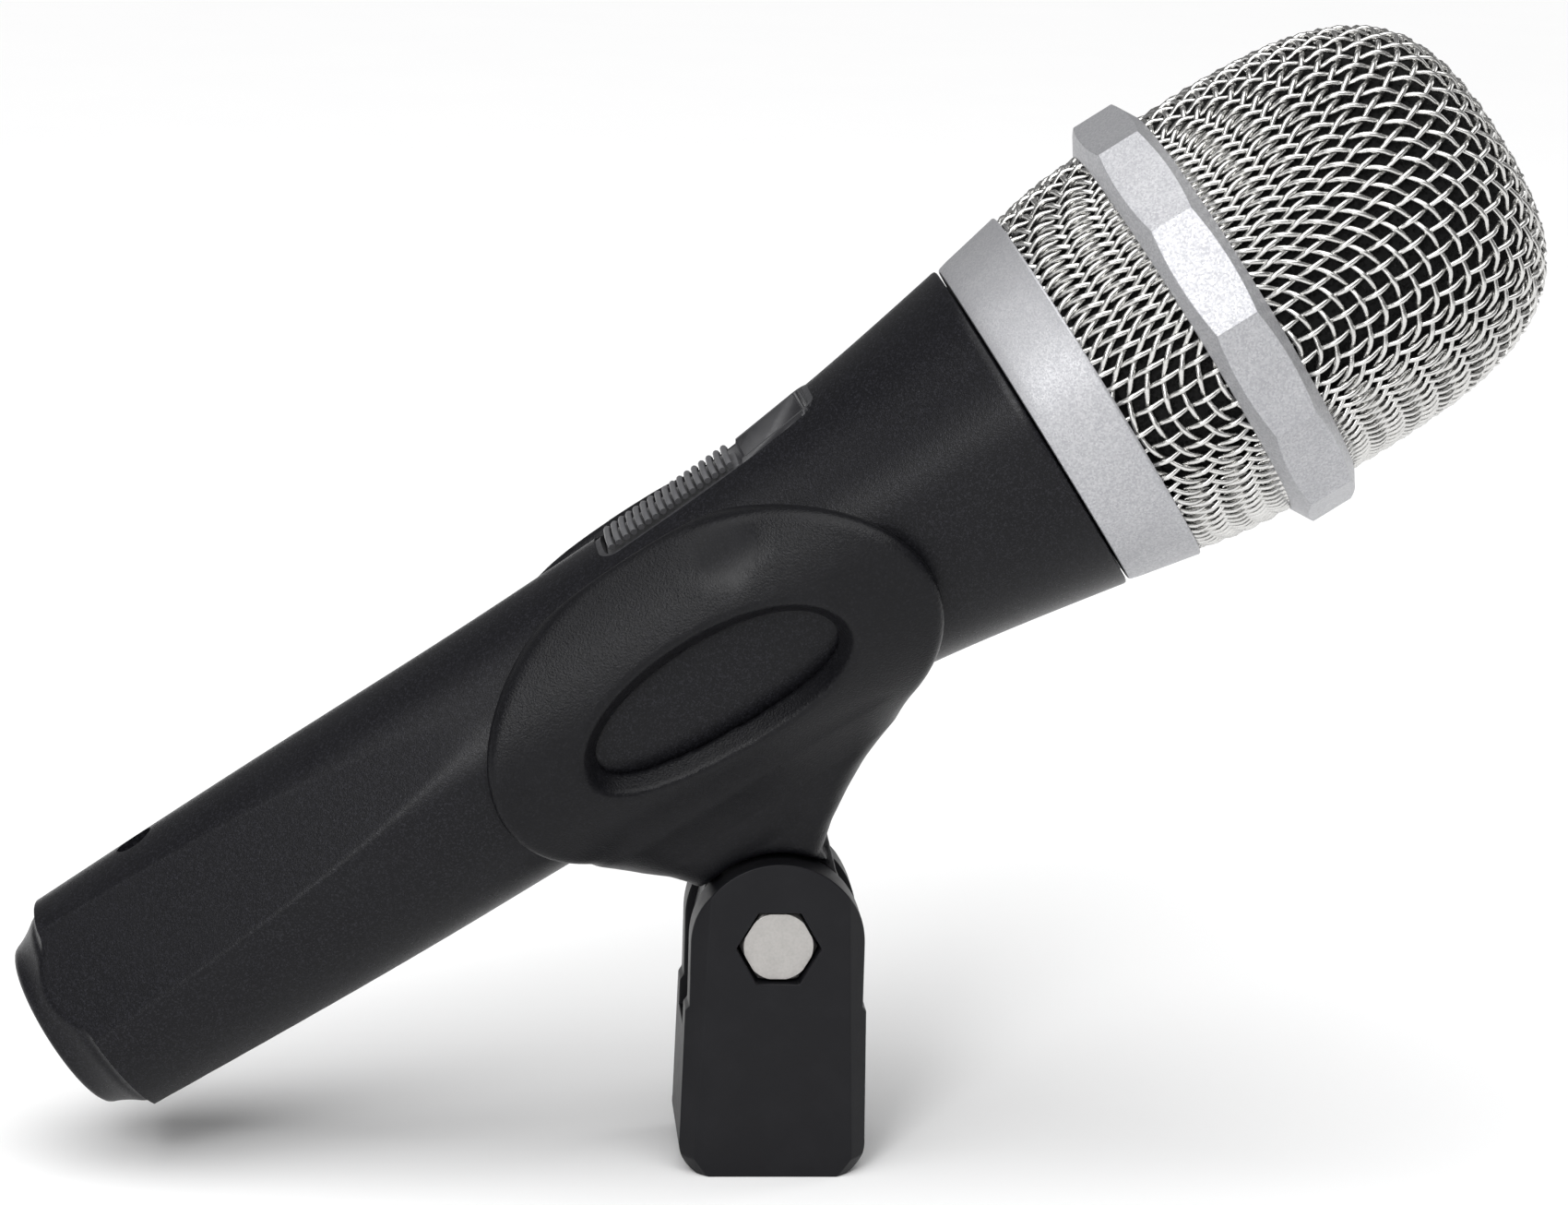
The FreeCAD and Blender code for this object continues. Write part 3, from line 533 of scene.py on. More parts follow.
def clip_nylon():
    colour = bpy.context.scene.mic_finish.nylon
    finish = Finish("black_nylon", colour, 0.33, specular=0.16)
    worn = finish.near((20.5, -17.5, 11.0), 3.0, 6.5)
    keep = finish.stretch(worn, 0.0, 1.0, 1.0, 0.12)
    grain = finish.times(finish.noise(0.24, 2.5, rough=0.6), keep)
    finish.tint(finish.stretch(finish.cells(0.22, "Color"), 0.6, 1.0, 0.0, 0.5), (0.016, 0.016, 0.019))
    finish.tint(finish.stretch(finish.noise(6.0, 4.0), 0.5, 0.8, 0.0, 0.5), (0.008, 0.008, 0.0095))
    finish.polish(finish.stretch(finish.noise(2.5, 3.0), 0.45, 0.7), 0.31)
    finish.polish(worn, 0.28)
    finish.bump(grain, 0.075, 1.0)
    return finish.material


def adapter_plastic():
    colour = bpy.context.scene.mic_finish.adapter
    finish = Finish("dark_moulded_plastic", colour, 0.40, specular=0.15)
    finish.tint(finish.stretch(finish.noise(5.0, 4.0), 0.45, 0.8, 0.0, 0.5), (0.012, 0.012, 0.014))
    finish.polish(finish.stretch(finish.noise(1.6, 3.0), 0.4, 0.7), 0.44)
    finish.bump(finish.noise(0.28, 2.0), 0.018, 0.6)
    return finish.material


def plain_plastic(name, colour, roughness, fleck):
    finish = Finish(name, colour, roughness)
    finish.tint(finish.stretch(finish.noise(2.2, 3.0), 0.45, 0.75, 0.0, 0.6), fleck)
    finish.polish(finish.stretch(finish.noise(0.8, 2.0), 0.4, 0.7), roughness * 0.8)
    finish.bump(finish.noise(0.2, 2.0), 0.01, 0.5)
    return finish.material


def plain_metal(name, colour, roughness, other, grain=(1, 1, 1)):
    finish = Finish(name, colour, roughness, metallic=1.0)
    brushed = finish.noise(0.3, 3.0, vector=finish.place(stretch=grain))
    finish.tint(finish.stretch(brushed, 0.4, 0.7, 0.0, 0.6), other)
    finish.polish(finish.stretch(finish.noise(1.5, 3.0), 0.4, 0.7), roughness * 1.3)
    finish.bump(brushed, 0.006, 0.6)
    return finish.material


def felt_cloth(name, colour, fleck):
    finish = Finish(name, colour, 0.95, specular=0.1)
    finish.tint(finish.stretch(finish.noise(0.35, 4.0), 0.45, 0.65), fleck)
    finish.bump(finish.noise(0.25, 4.0), 0.12, 1.0)
    return finish.material


# each slot: the function that makes its material, and what it is given
MAKERS = {
    "handle_paint": (handle_paint,),
    "silver_paint": (silver_paint,),
    "grille_wire": (nickel_wire,),
    "foam": (black_foam,),
    "clip_nylon": (clip_nylon,),
    "adapter_nylon": (adapter_plastic,),
    "brass": (plain_metal, "turned_brass", (0.72, 0.53, 0.25), 0.28, (0.58, 0.41, 0.18)),
    "bolt_zinc": (plain_metal, "satin_zinc", (0.47, 0.455, 0.44), 0.42, (0.40, 0.39, 0.375)),
    "tray_plastic": (plain_plastic, "tray_plastic", (0.030, 0.030, 0.033), 0.38, (0.05, 0.05, 0.054)),
    "slider_plastic": (plain_plastic, "slider_plastic", (0.085, 0.085, 0.09), 0.44, (0.11, 0.11, 0.115)),
    "switch_metal": (plain_metal, "tinned_steel", (0.6, 0.6, 0.6), 0.35, (0.48, 0.48, 0.49)),
    "board": (plain_plastic, "circuit_board", (0.02, 0.14, 0.06), 0.3, (0.015, 0.09, 0.04)),
    "insert_plastic": (plain_plastic, "insert_plastic", (0.02, 0.02, 0.021), 0.5, (0.03, 0.03, 0.03)),
    "pin_silver": (plain_metal, "silver_contact", (0.78, 0.76, 0.72), 0.22, (0.62, 0.6, 0.56)),
    "screw_black": (plain_metal, "black_oxide", (0.07, 0.07, 0.075), 0.4, (0.12, 0.12, 0.12)),
    "lead_jacket": (plain_plastic, "lead_jacket", (0.32, 0.02, 0.02), 0.5, (0.22, 0.01, 0.01)),
    "soft_rubber": (plain_plastic, "soft_rubber", (0.015, 0.015, 0.015), 0.8, (0.03, 0.03, 0.03)),
    "capsule_plastic": (plain_plastic, "capsule_plastic", (0.03, 0.03, 0.033), 0.42, (0.05, 0.05, 0.05)),
    "felt": (felt_cloth, "dark_felt", (0.03, 0.03, 0.03), (0.07, 0.07, 0.07)),
    "yoke_steel": (plain_metal, "plated_iron", (0.52, 0.52, 0.53), 0.32, (0.42, 0.42, 0.43)),
    "magnet_alloy": (plain_metal, "magnet_plating", (0.55, 0.54, 0.52), 0.2, (0.45, 0.44, 0.42)),
    "diaphragm_film": (plain_plastic, "polyester_film", (0.5, 0.48, 0.42), 0.15, (0.4, 0.38, 0.33)),
    "coil_copper": (plain_metal, "coil_copper", (0.72, 0.33, 0.15), 0.35, (0.5, 0.2, 0.08), (1, 9, 9)),
}
made = {}


def material(slot):
    """The material of a record slot, made once."""
    if slot not in made:
        maker, *given = MAKERS[slot]
        made[slot] = maker(*given)
    return made[slot]


# ---- grille ---------------------------------------------------------------------------------
DOME_X = RING_END
DOME_LENGTH = DOME_END - RING_END - GRILLE_WALL / 2
DOME_RADIUS = GRILLE_RADIUS - GRILLE_WALL / 2
WIRE_STIFFNESS = 0.25
PATCH_CELLS, NET_CELLS = 8, 27


def on_dome(points):
    """Moves points onto the middle surface of the wires: a squarish dome on a cylinder."""
    x, across = points[..., 0], points[..., 1:]
    reach = np.maximum(np.linalg.norm(across, axis=-1), 1e-9)
    u = np.maximum(x - DOME_X, 0) / DOME_LENGTH
    size = (u ** DOME_POWER + (reach / DOME_RADIUS) ** DOME_POWER) ** (-1 / DOME_POWER)
    result = points.copy()
    result[..., 0] = np.where(x > DOME_X, DOME_X + (x - DOME_X) * size, x)
    result[..., 1:] = across * np.where(x > DOME_X, size, DOME_RADIUS / reach)[..., None]
    return result


def dome_normal(points):
    """Outward direction of the dome and cylinder at points on them."""
    across = points[..., 1:]
    reach = np.maximum(np.linalg.norm(across, axis=-1), 1e-9)
    u = np.maximum(points[..., 0] - DOME_X, 0) / DOME_LENGTH
    slope = np.empty_like(points)
    slope[..., 0] = u ** (DOME_POWER - 1) / DOME_LENGTH
    slope[..., 1:] = (across / reach[..., None]
                      * ((reach / DOME_RADIUS) ** (DOME_POWER - 1) / DOME_RADIUS)[..., None])
    return slope / np.maximum(np.linalg.norm(slope, axis=-1), 1e-12)[..., None]


def dome_meridian():
    """Arc length from the pole with its x and radius, carried on down the cylinder."""
    turn = np.linspace(0, math.pi / 2, 400)
    x = DOME_X + DOME_LENGTH * np.cos(turn) ** (2 / DOME_POWER)
    radius = DOME_RADIUS * np.sin(turn) ** (2 / DOME_POWER)
    x = np.append(x, DOME_X - 60)
    radius = np.append(radius, DOME_RADIUS)
    length = np.concatenate(([0], np.cumsum(np.hypot(np.diff(x), np.diff(radius)))))
    return length, x, radius


def pull(ends, others, excess):
    """Moves pairs of crossings together by the excess of the distance between them."""
    ends = ends[:len(others)]
    gap = others - ends
    size = np.maximum(np.linalg.norm(gap, axis=-1, keepdims=True), 1e-9)
    step = 0.5 * gap * excess(size) / size
    ends += step
    others -= step


def relax(net, rounds, pitch, least):
    """Lets wires find their lengths, the weave shear no further than its least angle, and wires
    straighten a little, all on the dome."""
    for _ in range(rounds):
        for axis in (0, 1):
            lanes = np.moveaxis(net, axis, 0)
            for first in (0, 1):
                pull(lanes[first:-1:2], lanes[first + 1::2],
                     lambda size: (size - pitch) * np.where(size > pitch, 1, 0.5))
        for grid in (net, net[:, ::-1]):
            for first in (0, 1):
                pull(grid[first:-1:2, :-1], grid[first + 1::2, 1:], lambda size: np.minimum(size - least, 0))
        for axis in (0, 1):
            lanes = np.moveaxis(net, axis, 0)
            off = WIRE_STIFFNESS * ((lanes[:-2] + lanes[2:]) / 2 - lanes[1:-1])
            lanes[1:-1] += off
            lanes[:-2] -= off / 2
            lanes[2:] -= off / 2
        net = on_dome(net)
    return net


def drape_net(settings):
    """Drapes a flat square weave over the dome, from the pole outwards, one row of cells at a
    time. Returns the crossings as a square grid."""
    half, pitch, least = PATCH_CELLS, settings.pitch, 2 * settings.pitch * math.sin(settings.least_shear / 2)
    index = np.arange(-half, half + 1) * pitch
    u, v = np.meshgrid(index, index, indexing="ij")
    far, angle = np.hypot(u, v), np.arctan2(v, u) + settings.meridian
    length, x, radius = dome_meridian()
    reach = np.interp(far, length, radius)
    net = np.stack([np.interp(far, length, x), reach * np.sin(-angle), reach * np.cos(angle)], axis=-1)
    net = relax(on_dome(net), 100, pitch, least)
    for size in range(half + 1, NET_CELLS + 1):
        wider = np.empty((2 * size + 1, 2 * size + 1, 3))
        wider[1:-1, 1:-1] = net
        wider[0, 1:-1], wider[-1, 1:-1] = 2 * net[0] - net[1], 2 * net[-1] - net[-2]
        wider[:, 0], wider[:, -1] = 2 * wider[:, 1] - wider[:, 2], 2 * wider[:, -2] - wider[:, -3]
        net = relax(on_dome(wider), 50, pitch, least)
    return relax(net, 300, pitch, least)


def wire_paths(net, steps=4):
    """Fine points along every wire both ways: place on the middle surface, and its rise over or
    under the crossings as a share from -1 to 1."""
    rows = len(net)
    paths = []
    for way in (0, 1):
        lanes = net if way == 0 else np.swapaxes(net, 0, 1)
        for number in range(rows):
            lane = lanes[number]
            padded = np.concatenate((2 * lane[:1] - lane[1:2], lane, 2 * lane[-1:] - lane[-2:-1]))
            points, rises = [], []
            for i in range(rows - 1):
                a, b, c, d = padded[i:i + 4]
                for step in range(steps):
                    t = step / steps
                    points.append(0.5 * (2 * b + (c - a) * t + (2 * a - 5 * b + 4 * c - d) * t * t
                                         + (3 * b - a - 3 * c + d) * t ** 3))
                    sign = 1 if (i + number + way) % 2 == 0 else -1
                    rises.append(sign * math.cos(math.pi * t))
            paths.append((on_dome(np.array(points)), np.array(rises)))
    return paths


def chains(name, paths, keep, place):
    """Edge chains of every run of kept points, each point moved to its place."""
    points, edges = [], []
    for path, rises in paths:
        spots = place(path, rises)
        wanted = keep(path)
        for i, spot in enumerate(spots):
            if not wanted[i]:
                continue
            if i and wanted[i - 1]:
                edges.append((len(points) - 1, len(points)))
            points.append(tuple(map(float, spot)))
    mesh = bpy.data.meshes.new(name)
    mesh.from_pydata(points, edges, [])
    return link(name, mesh)


def unevenness(path):
    """A small steady wander of the wires, up to a twentieth of a millimetre."""
    x, y, z = path.T
    return 0.05 * np.sin(x * 0.9 + y * 0.7) * np.cos(z * 0.8 - x * 0.3)


class MIC_OT_grille(bpy.types.Operator):
    """Woven wire baskets, drawn over the dome as a flat weave is pressed into shape"""
    bl_idname = "mic.make_grille"
    bl_label = "Grille baskets"

    def execute(self, context):
        settings = context.scene.mic_grille
        paths = wire_paths(drape_net(settings), 4)
        swing = settings.wire * 0.55
        tree = wire_tree()
        values = {"Radius": settings.wire / 2, "Sides": settings.sides, "Material": material("grille_wire")}

        def upper(path, rises):
            return path + dome_normal(path) * (swing * rises + unevenness(path))[:, None]

        def lower(path, rises):
            x = LOWER_END - (path[:, 0] - RING_END)
            angle = np.arctan2(path[:, 1], path[:, 2])
            radius = lower_radius(x) - GRILLE_WALL / 2 + swing * rises + unevenness(path)
            return np.stack([x, radius * np.sin(angle), radius * np.cos(angle)], axis=-1)

        band = LOWER_END - COLLAR_END
        top = chains("grille_basket_top", paths, lambda path: path[:, 0] > RING_END - 0.9, upper)
        top = grow(top, tree, values)
        finished(top, material("grille_wire"), "grille_head", "grille_wire", "grille_top")
        low = chains("grille_basket_lower", paths,
                     lambda path: (path[:, 0] > RING_END - 0.9) & (path[:, 0] < RING_END + band + 0.9),
                     lower)
        low = grow(low, tree, values)
        finished(low, material("grille_wire"), "grille_head", "grille_wire", "grille_lower")
        return {"FINISHED"}


class MIC_OT_foam(bpy.types.Operator):
    """Open-cell foam liner that lies against the inside of the wires"""
    bl_idname = "mic.make_foam"
    bl_label = "Foam liner"

    def execute(self, context):
        outside, inside = GRILLE_WALL + 0.15, GRILLE_WALL + 2.5

        def skin(inset):
            lower = [(x, lower_radius(x) - inset) for x in np.linspace(67.2, LOWER_END, 22)]
            turn = np.linspace(0.0, math.pi / 2 - 0.02, 64)
            dome = [(RING_END + (DOME_END - RING_END - inset) * math.sin(t) ** (2 / DOME_POWER),
                     (GRILLE_RADIUS - inset) * math.cos(t) ** (2 / DOME_POWER)) for t in turn]
            return lower + dome

        rng = np.random.default_rng(7)
        pits = rng.uniform(-0.22, 0.05, (400, 144))

        def rough(x, radius, angles):
            row = int((x - 60) * 5.7) % 400
            return radius + pits[row] * min(1.0, radius / 6)

        outline = skin(outside) + skin(inside)[::-1]
        foam = lathe("foam_windscreen", outline, 144, rough)
        finished(shade(foam, 180), material("foam"), "grille_head", "foam", "foam_liner")
        return {"FINISHED"}


class MIC_OT_ring(bpy.types.Operator):
    """Faceted guard ring and the plain collar of the grille head"""
    bl_idname = "mic.make_ring"
    bl_label = "Ring and collar"

    def execute(self, context):
        root, base, flank = GRILLE_RADIUS + 0.25, GRILLE_RADIUS - 1.3, RING_FLANK
        section = ((LOWER_END, base), (LOWER_END, root), (LOWER_END + flank, RING_RADIUS),
                   (RING_END - flank, RING_RADIUS), (RING_END, root), (RING_END, base))
        ring = lathe("grille_ring_faceted", section, 12 * RING_FACETS)
        work = bmesh.new()
        work.from_mesh(ring.data)
        half_turn = math.pi / RING_FACETS
        for number in range(RING_FACETS):
            turn = math.radians(RING_PHASE) + (2 * number + 1) * half_turn
            away = Vector((0, -math.cos(turn), math.sin(turn)))
            cut = bmesh.ops.bisect_plane(work, geom=work.verts[:] + work.edges[:] + work.faces[:],
                                         dist=1e-5,
                                         plane_co=away * RING_RADIUS * math.cos(half_turn), plane_no=away,
                                         clear_outer=True)
            rim = [item for item in cut["geom_cut"] if isinstance(item, bmesh.types.BMEdge)]
            bmesh.ops.edgeloop_fill(work, edges=rim)
        work.to_mesh(ring.data)
        work.free()
        ring = rounded(outward(ring), 0.24, 3, 20)
        finished(ring, material("silver_paint"), "grille_head", "silver_paint", "grille_ring")

        start, end = COLLAR_START, COLLAR_END
        first, last = COLLAR_RADII
        outline = [(start, NECK_RADIUS + 0.35), (start, first - 0.35), (start + 0.1, first - 0.12),
                   (start + 0.35, first)]
        outline += [(x, first + (last - first) * (x - start) / (end - start)) for x in np.linspace(59, 65.6, 6)]
        outline += [(end - 0.3, last - 0.04), (end - 0.08, last - 0.14), (end, last - 0.4),
                    (end, NECK_RADIUS + 0.35)]
        collar = lathe("grille_collar_band", outline, 192)
        finished(shade(collar, 35), material("silver_paint"), "grille_head", "silver_paint",
                 "grille_collar")
        return {"FINISHED"}


# ---- handle ---------------------------------------------------------------------------------
def grip_shape(x, radius, angles):
    """Cuts the three long flats into a round grip, with a soft edge along each."""
    flat = FLAT_DISTANCE + FLAT_SLOPE * (x - SHOULDER_X)
    radii = np.full(len(angles), float(radius))
    if x > FLAT_END:
        return radii
    for centre in FLAT_ANGLES:
        away = (angles - math.radians(centre) + math.pi) % (2 * math.pi) - math.pi
        level = np.where(np.abs(away) < 1.3, flat / np.cos(np.clip(away, -1.3, 1.3)), 99.0)
        radii = smooth_least(radii, level, 0.12)
    return radii


def neck_thread(x, angles, pitch=1.25, depth=0.55):
    turn = ((x / pitch + angles / (2 * math.pi)) % 1.0) * 2 - 1
    return NECK_RADIUS - depth * np.clip(np.abs(turn) * 1.4 - 0.2, 0, 1)


class MIC_OT_handle(bpy.types.Operator):
    """Painted handle with its three flats, tail rim, switch window and threaded neck"""
    bl_idname = "mic.make_handle"
    bl_label = "Handle"

    def execute(self, context):
        inside = [(NECK_END, NECK_BORE), (54.0, NECK_BORE), (54.0, 15.6), (10, 12.2),
                  (-22, 11.2), (-47, 11.2), (-51, SOCKET_RADIUS), (SOCKET_FLOOR, SOCKET_RADIUS), (TAIL_X + 0.45, SOCKET_RADIUS)]
        rim = [(TAIL_X + 0.1, 8.35), (TAIL_X, 8.7), (TAIL_X, 9.9), (TAIL_X + 0.08, 10.35),
               (TAIL_X + 0.3, 10.68)]
        hollow = [(TAIL_X + 0.6 + 3.15 * t, 10.85 + 1.75 * (0.62 * t + 0.38 * t * t))
                  for t in np.linspace(0, 1, 10)]
        shoulder = [(-73.25 + 1.35 * math.sin(t) ** 1.1, 12.85 + 1.45 * (1 - math.cos(t)))
                    for t in np.linspace(0.15, math.pi / 2, 9)]
        grip = [(x, float(grip_radius(x))) for x in np.linspace(SHOULDER_X + 0.7, HANDLE_END - 0.45, 190)]
        edge = [(HANDLE_END - 0.15, 21.28), (HANDLE_END, 21.05), (HANDLE_END, NECK_RADIUS - 0.6)]
        thread = [(x, 0.0) for x in np.linspace(HANDLE_END + 0.05, NECK_END - 0.4, 62)]
        outline = inside + rim + hollow + shoulder + grip + edge + thread + [(NECK_END, 18.8)]
        outer = range(len(inside) + len(rim),
                      len(inside) + len(rim) + len(hollow) + len(shoulder) + len(grip))
        columns = 264
        angles = np.linspace(0, 2 * math.pi, columns, endpoint=False)
        points = []
        for number, (x, radius) in enumerate(outline):
            if radius == 0.0:
                radii = neck_thread(x, angles)
            elif number in outer:
                radii = grip_shape(x, radius, angles)
            else:
                radii = np.full(columns, radius)
            points += [(x, r * math.sin(a), r * math.cos(a)) for r, a in zip(radii, angles)]
        handle = outward(mesh_piece("handle_painted", points, ring_faces(len(outline), columns, True)))
        window = prism("window", rounded_rectangle((SLOT_START, SLOT_END), SLOT_HALF, SLOT_CORNER),
                       (5.6, 24), 2)
        handle = carve(handle, window)
        hole = [(-57.8 + 2.35 * math.cos(t), 2.35 * math.sin(t)) for t in np.linspace(0, 2 * math.pi, 48)[:-1]]
        handle = carve(handle, prism("hole", hole, (5.0, 20), 2))
        finished(shade(handle, 32), material("handle_paint"), "microphone", "handle_paint", "handle_shell")
        return {"FINISHED"}


# ---- switch ---------------------------------------------------------------------------------
class MIC_OT_switch(bpy.types.Operator):
    """Ribbed thumb slide and the tray that it runs in"""
    bl_idname = "mic.make_switch"
    bl_label = "Switch"

    def execute(self, context):
        start, end = SLIDER_START, SLIDER_START + SLIDER_LENGTH
        base = rounded_rectangle((start, end), SLIDER_HALF, 1.6)
        slider = prism("switch_slider_ribbed", base, (SLIDER_BASE, 14.2), 2)
        low, high = float(grip_radius(start)), float(grip_radius(end))
        for vertex in slider.data.vertices:
            if vertex.co.z > 14:
                share = (vertex.co.x - start) / SLIDER_LENGTH
                crown = low + (high - low) * share + SLIDER_CROWN - 0.7
                vertex.co.z = math.sqrt(crown ** 2 - vertex.co.y ** 2)
        slider = rounded(slider, 0.25, 2, 40)
        margin = (SLIDER_LENGTH - (RIB_COUNT - 1) * RIB_PITCH) / 2
        first = start + margin
        crest = float(grip_radius(first)) + SLIDER_CROWN + 0.05
        lean = (float(grip_radius(end - margin)) - float(grip_radius(first))) / (RIB_COUNT - 1)
        spans = np.linspace(-1, 1, 21)
        spine = [(first, (SLIDER_HALF - 0.4) * t, crest - 0.62 * t ** 4) for t in spans]
        rib = link("rib", bpy.data.meshes.new("rib"))
        rib.data.from_pydata(spine, [(i, i + 1) for i in range(len(spine) - 1)], [])
        rib = grow(rib, wire_tree(), {"Radius": 0.40, "Sides": 10, "Material": material("slider_plastic")})
        ribs = grow(rib, row_tree(), {"Count": RIB_COUNT, "Step": (RIB_PITCH, 0, lean),
                                      "Material": material("slider_plastic")})
        ribs.name = "switch_slider_ribs"
        finished(ribs, material("slider_plastic"), "switch_button", "slider_plastic")
        finished(slider, material("slider_plastic"), "switch_button", "slider_plastic", "switch_slider")

        # the rim follows the round of the handle beside the slide and rises in front of it
        tray = placed(cad_copy("switch_plate", "switch_tray_moulded"), TO_ROW.inverted())
        work = bmesh.new()
        work.from_mesh(tray.data)
        for cut in [*np.arange(SLOT_START + 1.2, TRAY_STEP - 1, 1.4), TRAY_STEP - 0.4, TRAY_STEP]:
            bmesh.ops.bisect_plane(work, geom=work.verts[:] + work.edges[:] + work.faces[:], dist=1e-5,
                                   plane_co=(cut, 0, 0), plane_no=(1, 0, 0))
        for vertex in work.verts:
            x, y, z = vertex.co
            if x < TRAY_STEP - 0.1 and z > TRAY_RAIL_TOP:
                vertex.co.z = min(z, math.sqrt((float(grip_radius(x)) - TRAY_RIM_DROP) ** 2 - y * y))
            elif z > TRAY_RAIL_TOP:
                vertex.co.z = z - TRAY_FRONT_DROP * (SLOT_END - x) / (SLOT_END - TRAY_STEP)
        work.to_mesh(tray.data)
        work.free()
        tray = rounded(tray, 0.12, 2, 40)
        finished(tray, material("tray_plastic"), "microphone", "tray_plastic", "switch_plate")
        return {"FINISHED"}


# ---- implicit mouldings ---------------------------------------------------------------------
def surface_net(field, low, cell):
    """Quads over the zero level of a sampled field, one point for each cell that it crosses."""
    inside = field < 0
    corner = [(i, j, k) for i in (0, 1) for j in (0, 1) for k in (0, 1)]
    shape = tuple(size - 1 for size in field.shape)

    def at(values, offset):
        return values[tuple(slice(o, o + s) for o, s in zip(offset, shape))]

    count = sum(at(inside, c).astype(np.int8) for c in corner)
    active = (count > 0) & (count < 8)
    total = np.zeros(shape + (3,), np.float32)
    hits = np.zeros(shape, np.float32)
    for axis in range(3):
        for one in corner:
            if one[axis]:
                continue
            two = tuple(c + (1 if n == axis else 0) for n, c in enumerate(one))
            a, b = at(field, one), at(field, two)
            crossing = (at(inside, one) != at(inside, two)) & active
            share = np.where(crossing, a / np.where(crossing, a - b, 1), 0)
            for n in range(3):
                total[..., n] += np.where(crossing, one[n] + (share if n == axis else 0), 0)
            hits += crossing
    number = np.full(shape, -1)
    number[active] = np.arange(int(active.sum()))
    spots = np.argwhere(active) + total[active] / hits[active][:, None]
    faces = []
    for axis in range(3):
        other = [n for n in range(3) if n != axis]
        lower = [slice(1, -1)] * 3
        upper = [slice(1, -1)] * 3
        lower[axis], upper[axis] = slice(0, -1), slice(1, None)
        a, b = inside[tuple(lower)], inside[tuple(upper)]
        for flip, mask in ((False, a & ~b), (True, b & ~a)):
            at_cells = np.argwhere(mask)
            start = at_cells + 1
            start[:, axis] -= 1
            steps = [np.zeros(3, int) for _ in range(4)]
            steps[1][other[0]] = -1
            steps[2][other[0]] = steps[2][other[1]] = -1
            steps[3][other[1]] = -1
            quad = [number[tuple((start + step).T)] for step in steps]
            order = (0, 1, 2, 3) if flip == (axis == 1) else (3, 2, 1, 0)
            faces.append(np.stack([quad[n] for n in order], axis=1))
    return low + spots * cell, np.concatenate(faces)


def ellipse_field(x, z, half_x, half_z):
    near = np.sqrt((x / half_x) ** 2 + (z / half_z) ** 2)
    steep = np.sqrt((x / half_x ** 2) ** 2 + (z / half_z ** 2) ** 2)
    return near * (near - 1) / np.maximum(steep, 1e-6)


def slab_field(value, low, high):
    return np.maximum(low - value, value - high)


def rounded_box_field(x, y, centre, half_x, half_y, corner):
    over_x, over_y = np.abs(x - centre) - half_x + corner, np.abs(y) - half_y + corner
    outside = np.hypot(np.maximum(over_x, 0), np.maximum(over_y, 0))
    return outside + np.minimum(np.maximum(over_x, over_y), 0) - corner


def clip_field(x, y, z):
    """Signed distance, negative inside the clip: cradle, windows, flared waist and hinge tongue."""
    round_ = np.hypot(y, z)
    handle = round_ - grip_radius(np.clip(x, SHOULDER_X, HANDLE_END)) - CLIP_GAP
    shell = np.abs(handle - CLIP_WALL / 2) - CLIP_WALL / 2
    outline = ellipse_field(x - CLIP_CENTRE[0], z - CLIP_CENTRE[1], *CLIP_HALF)
    cradle = smooth_most(shell, outline, RIM_ROUND)
    mouth = z * math.cos(CLIP_OPENING) - np.abs(y) * math.sin(CLIP_OPENING)
    cradle = smooth_most(cradle, mouth, RIM_ROUND)
    (outer, centre, half), (inner, inner_centre, inner_half) = WINDOW_OVALS
    depth = (np.abs(y) - inner) / (outer - inner)
    centre_x, centre_z, half_x, half_z = (near + (far - near) * depth for near, far in
                                          zip(inner_centre + inner_half, centre + half))
    window = ellipse_field(x - centre_x, z - centre_z, half_x, half_z)
    window = np.maximum(window, WINDOW_DEPTH - np.abs(y))
    cradle = smooth_most(cradle, -window, WINDOW_ROUND)

    levels = [section[0] for section in NECK_SECTIONS][::-1]
    low, high, half, corner = (np.interp(z, levels, values[::-1]) for values in
                               zip(*((s[1][0], s[1][1], s[2], s[3]) for s in NECK_SECTIONS)))
    waist = rounded_box_field(x, y, (low + high) / 2, (high - low) / 2, half, corner) * 0.85
    waist = np.maximum(waist, slab_field(z, -31, -14))
    hinge = np.hypot(x, z + AXIS_OFFSET)
    waist = smooth_most(waist, WAIST_HINGE - hinge, HINGE_BLEND)
    body = smooth_least(cradle, waist, WAIST_BLEND)

    web = np.full(x.shape, -99.0)
    for (x0, z0), (x1, z1) in zip(WEB_CORNERS, WEB_CORNERS[1:] + WEB_CORNERS[:1]):
        size = math.hypot(x1 - x0, z1 - z0)
        web = np.maximum(web, ((x - x0) * (z0 - z1) + (z - z0) * (x1 - x0)) / size)
    tongue = smooth_most(smooth_least(hinge - TONGUE_RADIUS, web, WEB_BLEND),
                         np.abs(y) - TONGUE_HALF, TONGUE_ROUND)
    body = smooth_least(body, tongue, TONGUE_BLEND)
    body = np.maximum(body, -handle)
    return smooth_most(body, BOLT_BORE - hinge, BORE_ROUND)


